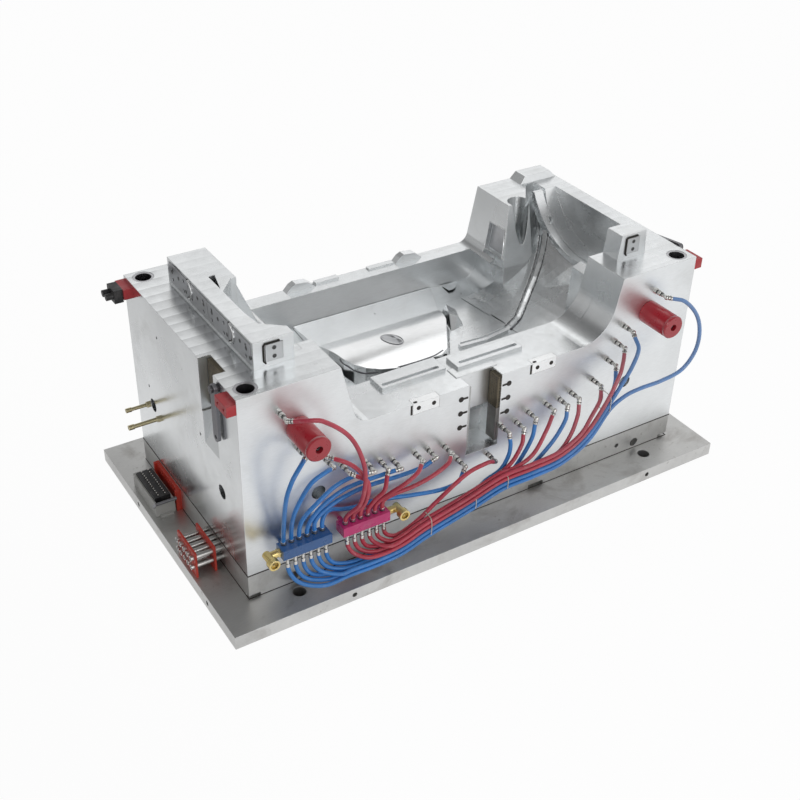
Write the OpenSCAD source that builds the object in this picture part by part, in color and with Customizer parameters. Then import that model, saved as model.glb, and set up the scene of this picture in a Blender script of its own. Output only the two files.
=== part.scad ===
// Bumper mould, cavity half, lying on its clamping plate with the cavity facing up
// Origin at the middle of the plate's underside, X along the bumper, Y to the back, Z up

/* [Plates and block] */
// Length of the clamping plate
plate_l = 2200; // [2180:5:2400]
// Width of the clamping plate
plate_w = 1240; // [1240:5:1400]
// Thickness of the clamping plate
plate_t = 55; // [50:1:80]
// Thickness of the hot runner plate between clamping plate and block
runner_plate_t = 105; // [100:1:130]
// Length of the cavity block
block_l = 1950; // [1930:5:1990]
// Width of the cavity block
block_w = 950; // [940:5:970]
// Height of the cavity block
block_h = 740; // [720:5:800]
// Diameter of the four clamping holes
clamp_hole_d = 50; // [30:1:60]
// Distance of the clamping holes from the plate's ends
clamp_inset_x = 295; // [200:5:400]
// Distance of the clamping holes from the plate's long edges
clamp_inset_y = 90; // [70:1:100]
// Diameter of the lifting eye holes
lift_hole_d = 54; // [36:1:60]
// Distance of the front lifting holes from the middle
lift_x = 690; // [600:5:700]
// Distance of the side lifting holes from the middle
lift_y = 305; // [290:5:320]
// Height of the lifting holes above the block's foot
lift_h = 260; // [230:5:300]

/* [Cavity] */
// Depth of the front and rear lips below the top of the block
lip_drop = 245; // [230:1:255]
// Depth of the cavity floor below the top of the block
floor_drop = 349; // [340:1:355]
// Rise of the cavity floor towards the front, in millimetres per metre
floor_slope = 90; // [60:5:110]
// Width of the rear lip
rear_lip_w = 75; // [65:1:85]
// Where the saddle's left wall meets the top
saddle_left_x = 596; // [585:1:605]
// Half width of the opening at its top, on the left behind
rear_left_x = 640; // [630:1:650]
// Where the saddle's right wall meets the top
saddle_right_x = 613; // [605:1:618]
// How far each saddle wall leans in over the depth of the lip
saddle_lean = 50; // [40:1:60]
// Reach of the right wing at the top
wing_right_x = 850; // [840:1:860]
// Reach of the left wing at the top
wing_left_x = 770; // [762:1:778]
// Radius of the wheel arch in the right wing
arch_r = 350; // [340:1:355]
// Depth of the arch recess beyond the wing
arch_recess = 75; // [40:1:80]
// Width of a trim rail in the wing
rail_w = 18; // [12:1:24]
// Height of a trim rail above the moulding surface
rail_h = 10; // [6:1:14]

/* [Interlocks] */
// Height of the long ridge and of the interlock block
lock_h = 100; // [80:1:120]
// Length of the long ridge
ridge_l = 692; // [660:2:710]
// Width of the long ridge
ridge_w = 149; // [146:1:155]
// Width of the interlock block at its foot
lock_w = 138; // [120:1:145]
// Depth of the interlock block
lock_d = 84; // [80:1:90]
// Thickness of the wear plates
wear_t = 12; // [8:1:16]
// Width of the lock pocket in the front
pocket_w = 144; // [130:1:150]
// Depth of the lock pocket
pocket_d = 62; // [55:1:70]
// Height of the lock pocket
pocket_h = 312; // [300:1:320]

// Height of the land on the rear right corner
land_h = 28; // [15:1:40]

/* [Guide bushes] */
// Outer diameter of a guide bush
bush_d = 80; // [76:1:84]
// Bore of a guide bush
bush_bore = 60; // [50:1:64]
// Length of a guide bush
bush_l = 140; // [100:5:180]
// Distance of the bush axes from the block's ends
bush_inset_x = 57; // [52:1:60]
// Distance of the bush axes from the block's front and back
bush_inset_y = 50; // [48:1:56]

/* [Inserts] */
// Radius of the domed insert's crown
dome_r = 400; // [380:5:440]
// Top of the dome above the insert pocket
dome_h = 112; // [105:1:118]
// Gap between the dome and the block
dome_gap = 16; // [12:1:20]
// Depth of the insert pocket below the cavity floor
insert_seat = 51; // [45:1:55]

/* [Posts and straps] */
// Diameter of a stand-off post
post_d = 85; // [70:1:95]
// Length of a stand-off post
post_l = 144; // [120:1:144]
// Distance of the posts from the middle
post_x = 760; // [750:5:780]
// Height of the posts above the block's foot
post_h = 560; // [550:5:570]
// Distance between the two holes of a transport strap
strap_l = 190; // [160:5:200]
// Width of a transport strap
strap_w = 36; // [30:1:40]

/* [Cooling] */
// Outer diameter of a hose
hose_d = 16; // [14:1:16]
// Length of a distributor bar
bar_l = 190; // [186:2:200]
// Height of a distributor bar
bar_s = 40; // [36:1:44]
// Distance between the outlets of a bar
outlet_pitch = 30; // [28:1:31]

/* [Hot runner] */
// Diameter of a valve pin
pin_d = 8; // [6:0.5:10]
// Stroke of a valve pin
pin_stroke = 12; // [8:1:13]
// Diameter of a nozzle
nozzle_d = 60; // [50:1:64]
// Distance of the outer gates from the middle
gate_x = 430; // [420:5:440]
// Distance of the gates behind the middle
gate_y = 300; // [290:5:320]

/* [Hidden] */
$fn = 64;
fit = 0.05;
seat = 0.3;
over = 5;
plate_top = plate_t;
foot_z = plate_t + runner_plate_t;
top_z = foot_z + block_h;
lip_z = top_z - lip_drop;
floor_z = top_z - floor_drop;
half_l = block_l / 2;
margin_x = (plate_l - block_l) / 2;
half_w = block_w / 2;
wall_y = half_w - rear_lip_w;
bush_x = half_l - bush_inset_x;
bush_y = half_w - bush_inset_y;
bush_places = [[-bush_x, -bush_y], [bush_x, -bush_y], [-bush_x, bush_y]];
lift_z = foot_z + lift_h;
post_z = foot_z + post_h;
seat_z = floor_z - insert_seat;

// Plan lines of the cavity
front_y = -266;
pillar_y = 252;
wing_back_y = 393;
wing_flat_x = 400;
wing_rise = top_z - floor_z;
wing_run = wing_right_x - wing_flat_x;
wing_r = (wing_run * wing_run + wing_rise * wing_rise) / (2 * wing_rise);
left_scale = wing_right_x / wing_left_x;
arch_x = wing_right_x - 20;
arch_z = top_z + 160;
crease_x = 535;
crease_slope = 1.28;
skin_cols = 14;
skin_rows = 14;

// Rise of the wing along X, above the floor
function wing_z(x) = x <= wing_flat_x ? 0
    : wing_r - sqrt(max(0, wing_r * wing_r - pow(x - wing_flat_x, 2)));
// Height of the floor, which tilts up to the front
function tilt(y) = floor_z - floor_slope * y / 1000;
// Height of the wheel arch's edge
function arch_edge(y) = arch_z - sqrt(max(0, arch_r * arch_r - y * y));
// Place of the crease between the upper and the lower side panel
function crease(y) = min(arch_x - 10, max(wing_flat_x - 10, crease_x + crease_slope * y));
function mix(a, b, t) = a + (b - a) * min(1, max(0, t));
function upper_skin(x, y) = tilt(y) + wing_z(x) * (top_z - tilt(y)) / wing_rise;
function side_skin(x, y) =
    mix(upper_skin(crease(y), y), arch_edge(y), (x - crease(y)) / (arch_x - crease(y)));
function right_skin(x, y) = x <= crease(y) ? upper_skin(x, y) : min(upper_skin(x, y), side_skin(x, y));
// Height of the moulding surface at any place
function skin(x, y) = min(top_z, right_skin(x < 0 ? -x * left_scale : x, y));

wing_angle = asin(wing_run / wing_r);
wing_cols = [for (i = [0 : skin_cols]) wing_flat_x + wing_r * sin(i * wing_angle / skin_cols)];
skin_xs = concat([for (i = [skin_cols : -1 : 0]) -wing_cols[i] / left_scale], wing_cols);
skin_ys = [for (j = [0 : skin_rows]) front_y - 10 + j * (wing_back_y + 20 - front_y) / skin_rows];

// Trim shelf and trim rail of the wing, as places in plan
shelf_upper = [[240, 5], [330, 15], [410, 38], [500, 62], [580, 98], [640, 138], [690, 182], [735, 228],
    [780, 270], [815, 312]];
shelf_lower = [[150, -100], [255, -108], [362, -88], [452, -42], [532, 26], [586, 70], [640, 110],
    [690, 150], [738, 192], [774, 232]];
rail_lower = [[130, -124], [250, -132], [365, -112], [460, -62], [545, 8], [600, 52], [655, 92], [705, 132],
    [752, 172], [784, 208]];

// Insert outlines in plan
dome_plan = [[-345, 165], [-348, 60], [-340, -40], [-322, -84], [-290, -118], [-240, -145],
    [-178, -161], [20, -165], [58, -145], [165, 25], [222, 165]];
slope_plan = [[-345, 166], [-325, 398], [335, 398], [222, 166]];
slope_back_z = seat_z + 25;
slope_front_z = seat_z + 60;
slope_y = [160, 400];
// Top of the slope insert along Y
function slope_z(y) = mix(slope_front_z, slope_back_z, (y - slope_y[0]) / (slope_y[1] - slope_y[0]));

// Interlocks
ridge_x = -849;
ridge_y = ridge_l / 2;
strip_w = 66;
lock_x = 753;
lock_y = -307;
side_pocket_y = -244;
side_pocket_w = 120;
side_pocket_d = 45;
lip_plate_xs = [-254, 268];
pocket_x = 2;
keyed = [for (s = [-1, 1], k = [0 : 2]) [pocket_x + s * (pocket_w / 2 + 34), lip_z - 50 - 62 * k]];

// Places of the outer fittings
bar_y = -half_w - 67;
bar_z = foot_z + 122;
bar_deep = 54;
blue_bar_x = -785;
magenta_bar_x = -550;
ball_y = -half_w - 60;
strap_t = 12;
corner_l = 86;
corner_t = 35;
strap_left_at = [-half_l - 6 - strap_t, -332, top_z - 32];
strap_right_at = [half_l + 6, -362, top_z - 12];
plug_at = [-half_l - 0.84 * margin_x, 108, plate_top];
plug_size = [78, 225, 60];
lever_pin = [plug_at.x + plug_size.x / 2, plug_at.y + 16, plug_at.z + 40];
tube_cols = 5;
tube_rows = 2;
tube_d = 20;
tube_pitch = 30;
tubes_at = [-half_l - 0.872 * margin_x, -262, plate_top + 42];
tube_l = margin_x + 14;
tube_row_h = 40;
beam_z = plate_top + 20;
beam_h = 52;
piston_d = 40;
piston_t = 10;
runner_window = [2 * gate_x + 160, 120];

// Straight lengths of the hose fittings
top_nipple_l = 12;
bottom_nipple_l = 40;
ferrule_l = 22;
blue_top_y = bar_y + 10;
magenta_top_y = bar_y - 3;
bottom_y = bar_y - 16;
ring_step = 40;
lever_reach = plug_size.x / 2 + 4;
lever_bar = [plug_at.y - 8, plug_at.z + 66];
strap_right_turn = 82;
nipples = [[352, foot_z + 238, 95, 18], [250, foot_z + 232, 125, 20]];

// Middle line of the hose bundle along the front
bundle = [[-640, -590, 150], [-530, -590, 146], [-430, -590, 153], [-325, -590, 187], [-138, -590, 232],
    [8, -590, 272], [150, -590, 275], [280, -590, 285], [390, -590, 340], [480, -590, 452],
    [540, -588, 535]];

// Where each hose meets the block, as X and Z on the front
blue_ends = [[-765, 640], [-663, 557], [-502, 477], [-391, 446], [-243, 438], [-112, 346], [81, 427],
    [204, 449], [353, 456], [575, 564], [638, 694], [786, 803]];
red_ends = [[-828, 806], [-685, 608], [-601, 507], [-445, 463], [-300, 444], [-174, 429], [26, 318],
    [151, 422], [288, 457], [407, 469], [512, 491], [608, 632]];

// Place of a line tube's middle line at any X
function tube_place(x, i, j) = [x, tubes_at.y + i * tube_pitch, tubes_at.z + j * tube_row_h];
function outlet_x(bar_x, k) = bar_x + (k - 2.5) * outlet_pitch;
function top_start(bar_x, k, y) = [outlet_x(bar_x, k), y, bar_z + bar_s / 2 + top_nipple_l];
function bottom_start(bar_x, k) = [outlet_x(bar_x, k), bottom_y, bar_z - bar_s / 2 - bottom_nipple_l];
function unit(v) = v / norm(v);
// Direction of the bundle at a station, and the square direction in its upright plane
function run(i) = unit(bundle[min(len(bundle) - 1, i + 1)] - bundle[max(0, i - 1)]);
function square_up(i) = [-run(i).z, 0, run(i).x];
// Places of one hose in the bundle, a column forward or back and a row up or down
function lane(a, b, col, row) = [for (i = [a : b]) bundle[i] + [0, col, 0] + row * square_up(i)];
// Quarter turn from a lower nipple into the hose's place at a station
function turn_in(start, at) =
    let (drop = start.z - at.z)
        [start + [0.29 * drop, 0.35 * (at.y - start.y), -0.71 * drop], [start.x + drop + 10, at.y, at.z]];
// Lower route: nipple, then column and row in the bundle, turn-in station, first and last station
function lower_route(bar_x, b, tail) =
    concat(turn_in(bottom_start(bar_x, b[0]), lane(b[3], b[3], b[1], b[2])[0]),
        lane(b[4], b[5], b[1], b[2]), tail);

blue_places = [[5, 19, -10, 0, 1, 4], [2, 19, -29, 0, 0, 5], [4, 0, -10, 0, 1, 5], [1, 0, -29, 0, 0, 9],
    [3, -18, -10, 0, 0, 10], [0, -18, -31, 0, 0, 9]];
red_places = [[5, 19, 31, 2, 3, 3], [2, 19, 10, 2, 2, 5], [4, 0, 31, 2, 3, 5], [1, 0, 10, 2, 2, 7],
    [3, -18, 31, 2, 2, 8], [0, -18, 10, 2, 2, 9]];
blue_starts = concat([for (k = [0 : 5]) top_start(blue_bar_x, k, blue_top_y)],
    [for (b = blue_places) bottom_start(blue_bar_x, b[0])]);
red_starts = concat([for (k = [0 : 5]) top_start(magenta_bar_x, k, magenta_top_y)],
    [for (b = red_places) bottom_start(magenta_bar_x, b[0])]);
blue_tails = [[[-80, -561, 236], [-25, -550, 258], [40, -552, 285], [76, -548, 335], [84, -544, 380]],
    [[75, -562, 256], [132, -552, 300], [180, -550, 380]],
    [[140, -582, 266], [205, -566, 280], [285, -560, 345], [335, -552, 410]],
    [[545, -572, 515]],
    [[588, -604, 590], [626, -588, 652]],
    [[575, -607, 468], [650, -606, 476], [760, -606, 476], [860, -606, 495], [915, -606, 560],
        [928, -600, 640], [905, -590, 720], [850, -570, 785]]];
red_tails = [[[-262, -566, 258], [-130, -572, 345], [-25, -556, 345]],
    [[70, -574, 318], [125, -560, 375]],
    [[90, -590, 306], [165, -586, 335], [235, -566, 410]],
    [[340, -582, 350], [385, -562, 420]],
    [[418, -602, 425], [475, -578, 468]],
    [[548, -588, 562], [582, -562, 602]]];
blue_routes = concat([
    [[-868, -560, 430], [-866, -582, 540], [-845, -588, 608], [-805, -570, 640]],
    [[-830, -552, 420], [-800, -565, 505], [-765, -573, 560], [-715, -568, 576]],
    [[-786, -532, 375], [-728, -535, 430], [-647, -524, 466], [-560, -520, 476]],
    [[-752, -530, 360], [-701, -526, 402], [-606, -522, 436], [-447, -520, 436]],
    [[-736, -530, 348], [-705, -527, 374], [-640, -522, 396], [-537, -518, 408],
        [-368, -520, 402], [-290, -528, 412]],
    [[-706, -528, 340], [-686, -516, 356], [-655, -506, 352], [-615, -498, 330], [-560, -498, 316],
        [-480, -498, 312], [-336, -528, 300], [-215, -540, 285], [-148, -548, 300]]],
    [for (i = [0 : 5]) lower_route(blue_bar_x, blue_places[i], blue_tails[i])]);
red_routes = concat([
    [[-590, -585, 400], [-580, -605, 500], [-590, -608, 600], [-640, -605, 720],
        [-735, -598, 812], [-785, -580, 820]],
    [[-565, -582, 400], [-560, -584, 480], [-590, -585, 545], [-625, -578, 585], [-655, -562, 602]],
    [[-540, -556, 400], [-541, -564, 445], [-553, -566, 480]],
    [[-514, -562, 375], [-484, -574, 412]],
    [[-496, -548, 345], [-455, -562, 378], [-400, -578, 412], [-345, -572, 436]],
    [[-470, -548, 346], [-430, -560, 368], [-370, -572, 380], [-290, -578, 400], [-215, -570, 424]]],
    [for (i = [0 : 5]) lower_route(magenta_bar_x, red_places[i], red_tails[i])]);

// Whole route of a hose, from its nipple to the ferrule of its coupler
function full_route(start, route, end) =
    let (ball = [end[0], ball_y, end[1]])
        concat([start], route, [ball + ferrule_l * unit(route[len(route) - 1] - ball)]);
function heading(p, i) = i == 0 ? [0, 0, sign(p[1].z - p[0].z)]
    : i == len(p) - 1 ? unit(p[i] - p[i - 1])
    : (p[i + 1] - p[i - 1]) / (norm(p[i + 1] - p[i]) + norm(p[i] - p[i - 1]));
function curve(p, i, t) =
    let (d = norm(p[i + 1] - p[i]), a = d * heading(p, i), b = d * heading(p, i + 1), q = t * t)
        (2 * q * t - 3 * q + 1) * p[i] + (q * t - 2 * q + t) * a
            + (3 * q - 2 * q * t) * p[i + 1] + (q * t - q) * b;
// Smooth line through the route points
function centre_line(p) = concat([for (i = [0 : len(p) - 2])
    let (n = max(1, round(norm(p[i + 1] - p[i]) / ring_step)))
        each [for (k = [0 : n - 1]) curve(p, i, k / n)]], [p[len(p) - 1]]);

module along_y(y0, y1) {
    translate([0, y1, 0])
        rotate([90, 0, 0])
            linear_extrude(y1 - y0)
                children();
}

module along_x(x0, x1) {
    translate([x0, 0, 0])
        rotate([90, 0, 90])
            linear_extrude(x1 - x0)
                children();
}

module block(lo, hi) {
    translate(lo)
        cube(hi - lo);
}

// Round bar or hole from a place on the front, pointing out of the front
module rod_y(at, d, l) {
    translate(at)
        rotate([90, 0, 0])
            cylinder(d = d, h = l);
}

// Round bar or hole pointing to the left
module rod_left(at, d, l) {
    translate(at)
        rotate([0, -90, 0])
            cylinder(d = d, h = l);
}

// Round bar from one place to another
module rod(a, b, d) {
    v = b - a;
    l = norm(v);
    translate(a)
        rotate([0, acos(v.z / l), atan2(v.y, v.x)])
            cylinder(d = d, h = l);
}

module scale_x(s) {
    if (s > 0)
        children();
    else
        mirror([1, 0, 0])
            children();
}

// Space above the moulding surface, as one closed solid
module skin_void() {
    nx = len(skin_xs);
    ny = len(skin_ys);
    n = nx * ny;
    low = [for (y = skin_ys, x = skin_xs) [x, y, skin(x, y)]];
    high = [for (y = skin_ys, x = skin_xs) [x, y, top_z + over]];
    cells = [for (j = [0 : ny - 2], i = [0 : nx - 2]) j * nx + i];
    grid = [for (a = cells) each [[a, a + 1, a + nx + 1], [a, a + nx + 1, a + nx]]];
    lid = [for (f = grid) [f[0] + n, f[2] + n, f[1] + n]];
    rim = concat([for (i = [0 : nx - 2]) i], [for (j = [0 : ny - 2]) j * nx + nx - 1],
        [for (i = [nx - 1 : -1 : 1]) (ny - 1) * nx + i], [for (j = [ny - 1 : -1 : 1]) j * nx]);
    sides = [for (k = [0 : len(rim) - 1])
        let (a = rim[k], b = rim[(k + 1) % len(rim)])
            [a, a + n, b + n, b]];
    polyhedron(concat(low, high), concat(grid, sides, lid));
}

// Outline of the deep cavity in plan, with the pillars at its corners left standing
module cavity_plan() {
    left = ridge_x + strip_w - 6;
    polygon([[left, front_y], [900, front_y], [900, 380], [846, wing_back_y], [807, wing_back_y],
        [709, pillar_y + 11], [623, pillar_y], [left, pillar_y]]);
}

// Opening along Y with a rounded foot: radius at the right, and where its left wall meets the top
module saddle_profile(corner, left_x) {
    l0 = saddle_left_x - saddle_lean - 11;
    r0 = saddle_right_x - saddle_lean;
    difference() {
        polygon([[-l0, lip_z], [r0, lip_z], [saddle_right_x, top_z],
            [saddle_right_x, top_z + lock_h + over], [-left_x, top_z + lock_h + over], [-left_x, top_z]]);
        corner_fill([-l0, lip_z], 60, 1, ceil(90.3 + atan((left_x - l0) / lip_drop)));
        corner_fill([r0, lip_z], corner, -1, 101.5);
    }
}

// Rounding left in a corner between a floor and a leaning wall
module corner_fill(at, r, side, wall_angle) {
    half = wall_angle / 2;
    run = r / tan(half);
    centre = at + [side * run, r];
    difference() {
        polygon([at - [side * 30, 2], at + [side * run, -2], at + [side * run, 0], centre,
            at + run * [side * cos(wall_angle), sin(wall_angle)], at + [-side * 60, run]]);
        translate(centre)
            circle(r);
    }
}

module rear_floor_profile() {
    l0 = saddle_left_x - saddle_lean - 5;
    r0 = saddle_right_x - saddle_lean + 5;
    z0 = tilt(wall_y);
    r = 60;
    difference() {
        polygon([[-l0, z0], [r0, z0], [r0, lip_z + 1], [-l0, lip_z + 1]]);
        difference() {
            translate([r0 - r, z0 - 1])
                square([r + 1, r + 1]);
            translate([r0 - r, z0 + r])
                circle(r);
        }
        difference() {
            translate([-l0 - 1, z0 - 1])
                square([r + 1, r + 1]);
            translate([-l0 + r, z0 + r])
                circle(r);
        }
    }
}

// A ridge of constant section that follows the moulding surface
module rail(path) {
    n = len(path);
    h = rail_w / 2;
    rings = [for (i = [0 : n - 1])
        let (a = path[max(0, i - 1)], b = path[min(n - 1, i + 1)],
            t = (b - a) / norm(b - a), s = [-t.y, t.x] * h,
            p = path[i], z = max(skin(p.x + s.x, p.y + s.y), skin(p.x - s.x, p.y - s.y)))
            each [[p.x - s.x, p.y - s.y, z - 34], [p.x + s.x, p.y + s.y, z - 34],
                [p.x + s.x, p.y + s.y, z + rail_h], [p.x - s.x, p.y - s.y, z + rail_h]]];
    m = 4 * (n - 1);
    skins = [for (i = [0 : n - 2], k = [0 : 3])
        let (a = 4 * i + k, b = 4 * i + (k + 1) % 4)
            each [[a, b, b + 4], [a, b + 4, a + 4]]];
    polyhedron(rings, concat([[0, 3, 2, 1], [m, m + 1, m + 2, m + 3]], skins));
}

// A low shelf that follows the moulding surface between two lines
module shelf(upper, lower) {
    n = len(upper);
    low = 30;
    high = 8;
    rings = [for (i = [0 : n - 1])
        let (a = upper[i], b = lower[i], za = skin(a.x, a.y), zb = skin(b.x, b.y))
            each [[b.x, b.y, zb - low], [a.x, a.y, za - low],
                [a.x, a.y, za + high], [b.x, b.y, zb + high]]];
    m = 4 * (n - 1);
    skins = [for (i = [0 : n - 2], k = [0 : 3])
        let (a = 4 * i + k, b = 4 * i + (k + 1) % 4)
            each [[a, b, b + 4], [a, b + 4, a + 4]]];
    polyhedron(rings, concat([[0, 3, 2], [0, 2, 1], [m, m + 1, m + 2], [m, m + 2, m + 3]], skins));
}

// Raised rim along the wheel arch's edge
module arch_rim() {
    intersection() {
        translate([arch_x - 42, 0, arch_z])
            rotate([0, 90, 0])
                difference() {
                    cylinder(r = arch_r + 34, h = 45);
                    translate([0, 0, -over])
                        cylinder(r = arch_r - 4, h = 45 + 2 * over);
                }
        block([arch_x - 50, front_y + 6, lip_z - 60], [arch_x + 10, arch_r - 30, top_z - 1]);
    }
}

// Rounded slot cut into the top of a pad, along X
module pad_slot(x0, x1, y, z) {
    w = 15;
    translate([x0, y - w / 2, z])
        cube([x1 - x0, w, 30]);
    for (x = [x0, x1])
        translate([x, y, z])
            cylinder(d = w, h = 30);
}

module base_plate() {
    hx = plate_l / 2 - clamp_inset_x;
    hy = plate_w / 2 - clamp_inset_y;
    color([0.66, 0.68, 0.7])
        difference() {
            block([-plate_l / 2, -plate_w / 2, 0], [plate_l / 2, plate_w / 2, plate_t]);
            for (x = [-hx, hx], y = [-hy, hy])
                translate([x, y, -over])
                    cylinder(d = clamp_hole_d, h = plate_t + 2 * over);
            for (x = [-630, 750])
                rod_y([x, -plate_w / 2 + 45, plate_t / 2], 20, 50);
            for (y = [-390, 250])
                rod_left([-plate_l / 2 + 45, y, plate_t / 2], 20, 50);
            translate([0, 0, -over])
                cylinder(d = 52, h = plate_t + 2 * over);
            translate([0, 0, -over])
                cylinder(d = 92, h = 32 + over);
            translate([0, 0, -over])
                cylinder(d = 160, h = 14 + over);
        }
}

module runner_plate() {
    color([0.7, 0.71, 0.72])
        difference() {
            block([-half_l, -half_w, plate_top], [half_l, half_w, foot_z]);
            block([-runner_window.x / 2, gate_y - runner_window.y / 2, beam_z],
                [runner_window.x / 2, gate_y + runner_window.y / 2, foot_z + over]);
            block([-70, -90, beam_z], [70, gate_y, foot_z + over]);
            translate([0, 0, plate_top - over])
                cylinder(d = 52, h = 30);
            for (x = [-795, 795])
                rod_y([x, -half_w + 50, plate_top + 28], 40, 60);
            rod_y([700, -half_w + 40, plate_top + 45], 20, 50);
            for (i = [0 : tube_cols - 1], j = [0 : tube_rows - 1])
                rod_left(tube_place(-half_l + 16, i, j), tube_d + 2 * seat, 20);
            block([-half_l - 1, -half_w - 1, plate_top - 1], [-half_l + 45, -half_w + 25, plate_top + 14]);
            block([half_l - 45, -half_w - 1, plate_top - 1], [half_l + 1, -half_w + 25, plate_top + 14]);
            block([248, -half_w - 1, plate_top - 1], [322, -half_w + 25, plate_top + 18]);
        }
}

module cavity_block() {
    color([0.78, 0.8, 0.82])
        difference() {
            union() {
                difference() {
                    union() {
                        block([-half_l, -half_w, foot_z], [half_l, half_w, top_z]);
                        block([ridge_x, -ridge_y, top_z - over],
                            [ridge_x + ridge_w, ridge_y, top_z + lock_h]);
                        along_y(lock_y - lock_d / 2, lock_y + lock_d / 2)
                            lock_profile();
                    }
                    difference() {
                        intersection() {
                            skin_void();
                            linear_extrude(top_z + 2 * over)
                                cavity_plan();
                        }
                        pillar_foot();
                    }
                    block_cuts();
                }
                intersection() {
                    union() {
                        shelf(shelf_upper, shelf_lower);
                        rail(rail_lower);
                        arch_rim();
                    }
                    linear_extrude(top_z)
                        cavity_plan();
                }
                block_pads();
            }
            block_holes();
        }
}

// Interlock block seen from the front, with leaning flanks
module lock_profile() {
    polygon([[lock_x - lock_w / 2, top_z - over], [lock_x + lock_w / 2, top_z - over],
        [lock_x + lock_w / 2 - 6, top_z + lock_h], [lock_x - lock_w / 2 + 12, top_z + lock_h]]);
}

// The larger cuts, made before the pads and rails are added
module block_cuts() {
    along_y(-half_w - over, -230)
        saddle_profile(150, saddle_left_x);
    along_y(-231, half_w + over)
        saddle_profile(46, rear_left_x);
    along_y(pillar_y - 4, wall_y)
        rear_floor_profile();
    // Wheel arch recess behind the right wing
    intersection() {
        translate([arch_x - 4, 0, arch_z])
            rotate([0, 90, 0])
                cylinder(r = arch_r + 2, h = arch_recess + 4);
        block([arch_x - 4, front_y + 6, lip_z - 60], [arch_x + arch_recess, arch_r, top_z + over]);
    }
    // Opening of the left wing through the ridge, and the three-sided window behind its rib
    translate([0, 0, top_z - 0.4])
        linear_extrude(lock_h + over)
            polygon([[ridge_x + strip_w, 15], [ridge_x + strip_w, -152], [ridge_x + strip_w + 8, -239],
                [-692, -305], [-650, -305], [-650, 85], [-722, 85]]);
    translate([0, 0, top_z + 12])
        linear_extrude(lock_h)
            polygon([[ridge_x + strip_w, 135], [ridge_x + strip_w + 25, 138], [ridge_x + strip_w, 36]]);
    // Scallop in the rear pillar, tapered pocket beside it
    translate([664, pillar_y + 2, lip_z + 40])
        rotate([-4, 3, 0])
            cylinder(d = 92, h = 400);
    wall_recess([[343, 141], [240, 145], [222, 73], [203, -18], [330, -32], [339, 45]], 18);
    // Lock pocket in the front, deeper in its lower half
    block([pocket_x - pocket_w / 2, -half_w - over, lip_z - pocket_h],
        [pocket_x + pocket_w / 2, -half_w + pocket_d, lip_z + over]);
    along_x(pocket_x - pocket_w / 2, pocket_x + pocket_w / 2)
        polygon([[-half_w, lip_z - pocket_h], [-half_w + 2 * pocket_d, lip_z - pocket_h],
            [-half_w + 2 * pocket_d, lip_z - pocket_h + 90],
            [-half_w + pocket_d - 1, lip_z - pocket_h + 160],
            [-half_w, lip_z - pocket_h + 160]]);
    // Lock pocket in the left side, with its run-out below
    block([-half_l - over, side_pocket_y - side_pocket_w / 2, top_z - 210],
        [-half_l + side_pocket_d, side_pocket_y + side_pocket_w / 2, top_z + over]);
    along_y(side_pocket_y - side_pocket_w / 2, side_pocket_y + side_pocket_w / 2 - 6)
        polygon([[-half_l - over, top_z - 205], [-half_l + side_pocket_d, top_z - 205],
            [-half_l, top_z - 340], [-half_l - over, top_z - 340]]);
    wall_recess([[-340, 16], [-340, 84], [-285, 96], [-285, 4]], 14);
}

// Shallow recess in the leaning right wall of the opening, from places along and up the wall
module wall_recess(outline, depth) {
    n = len(outline);
    lean = saddle_lean / lip_drop;
    x0 = saddle_right_x - saddle_lean;
    ring = [for (d = [-8, depth], p = outline) [x0 + d + lean * p[1], p[0], lip_z + p[1]]];
    sides = [for (i = [0 : n - 1]) [i, (i + 1) % n, n + (i + 1) % n, n + i]];
    polyhedron(ring, concat([[for (i = [n - 1 : -1 : 0]) i], [for (i = [0 : n - 1]) n + i]], sides));
}

// Foot of the rear right pillar, whose front face leans into the wing
module pillar_foot() {
    along_x(saddle_right_x - saddle_lean + 4, 716)
        polygon([[pillar_y + 2, top_z - 2], [pillar_y - 3, top_z - 2], [pillar_y - 60, lip_z - 6],
            [pillar_y - 60, floor_z - 90], [pillar_y + 2, floor_z - 90]]);
}

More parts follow.
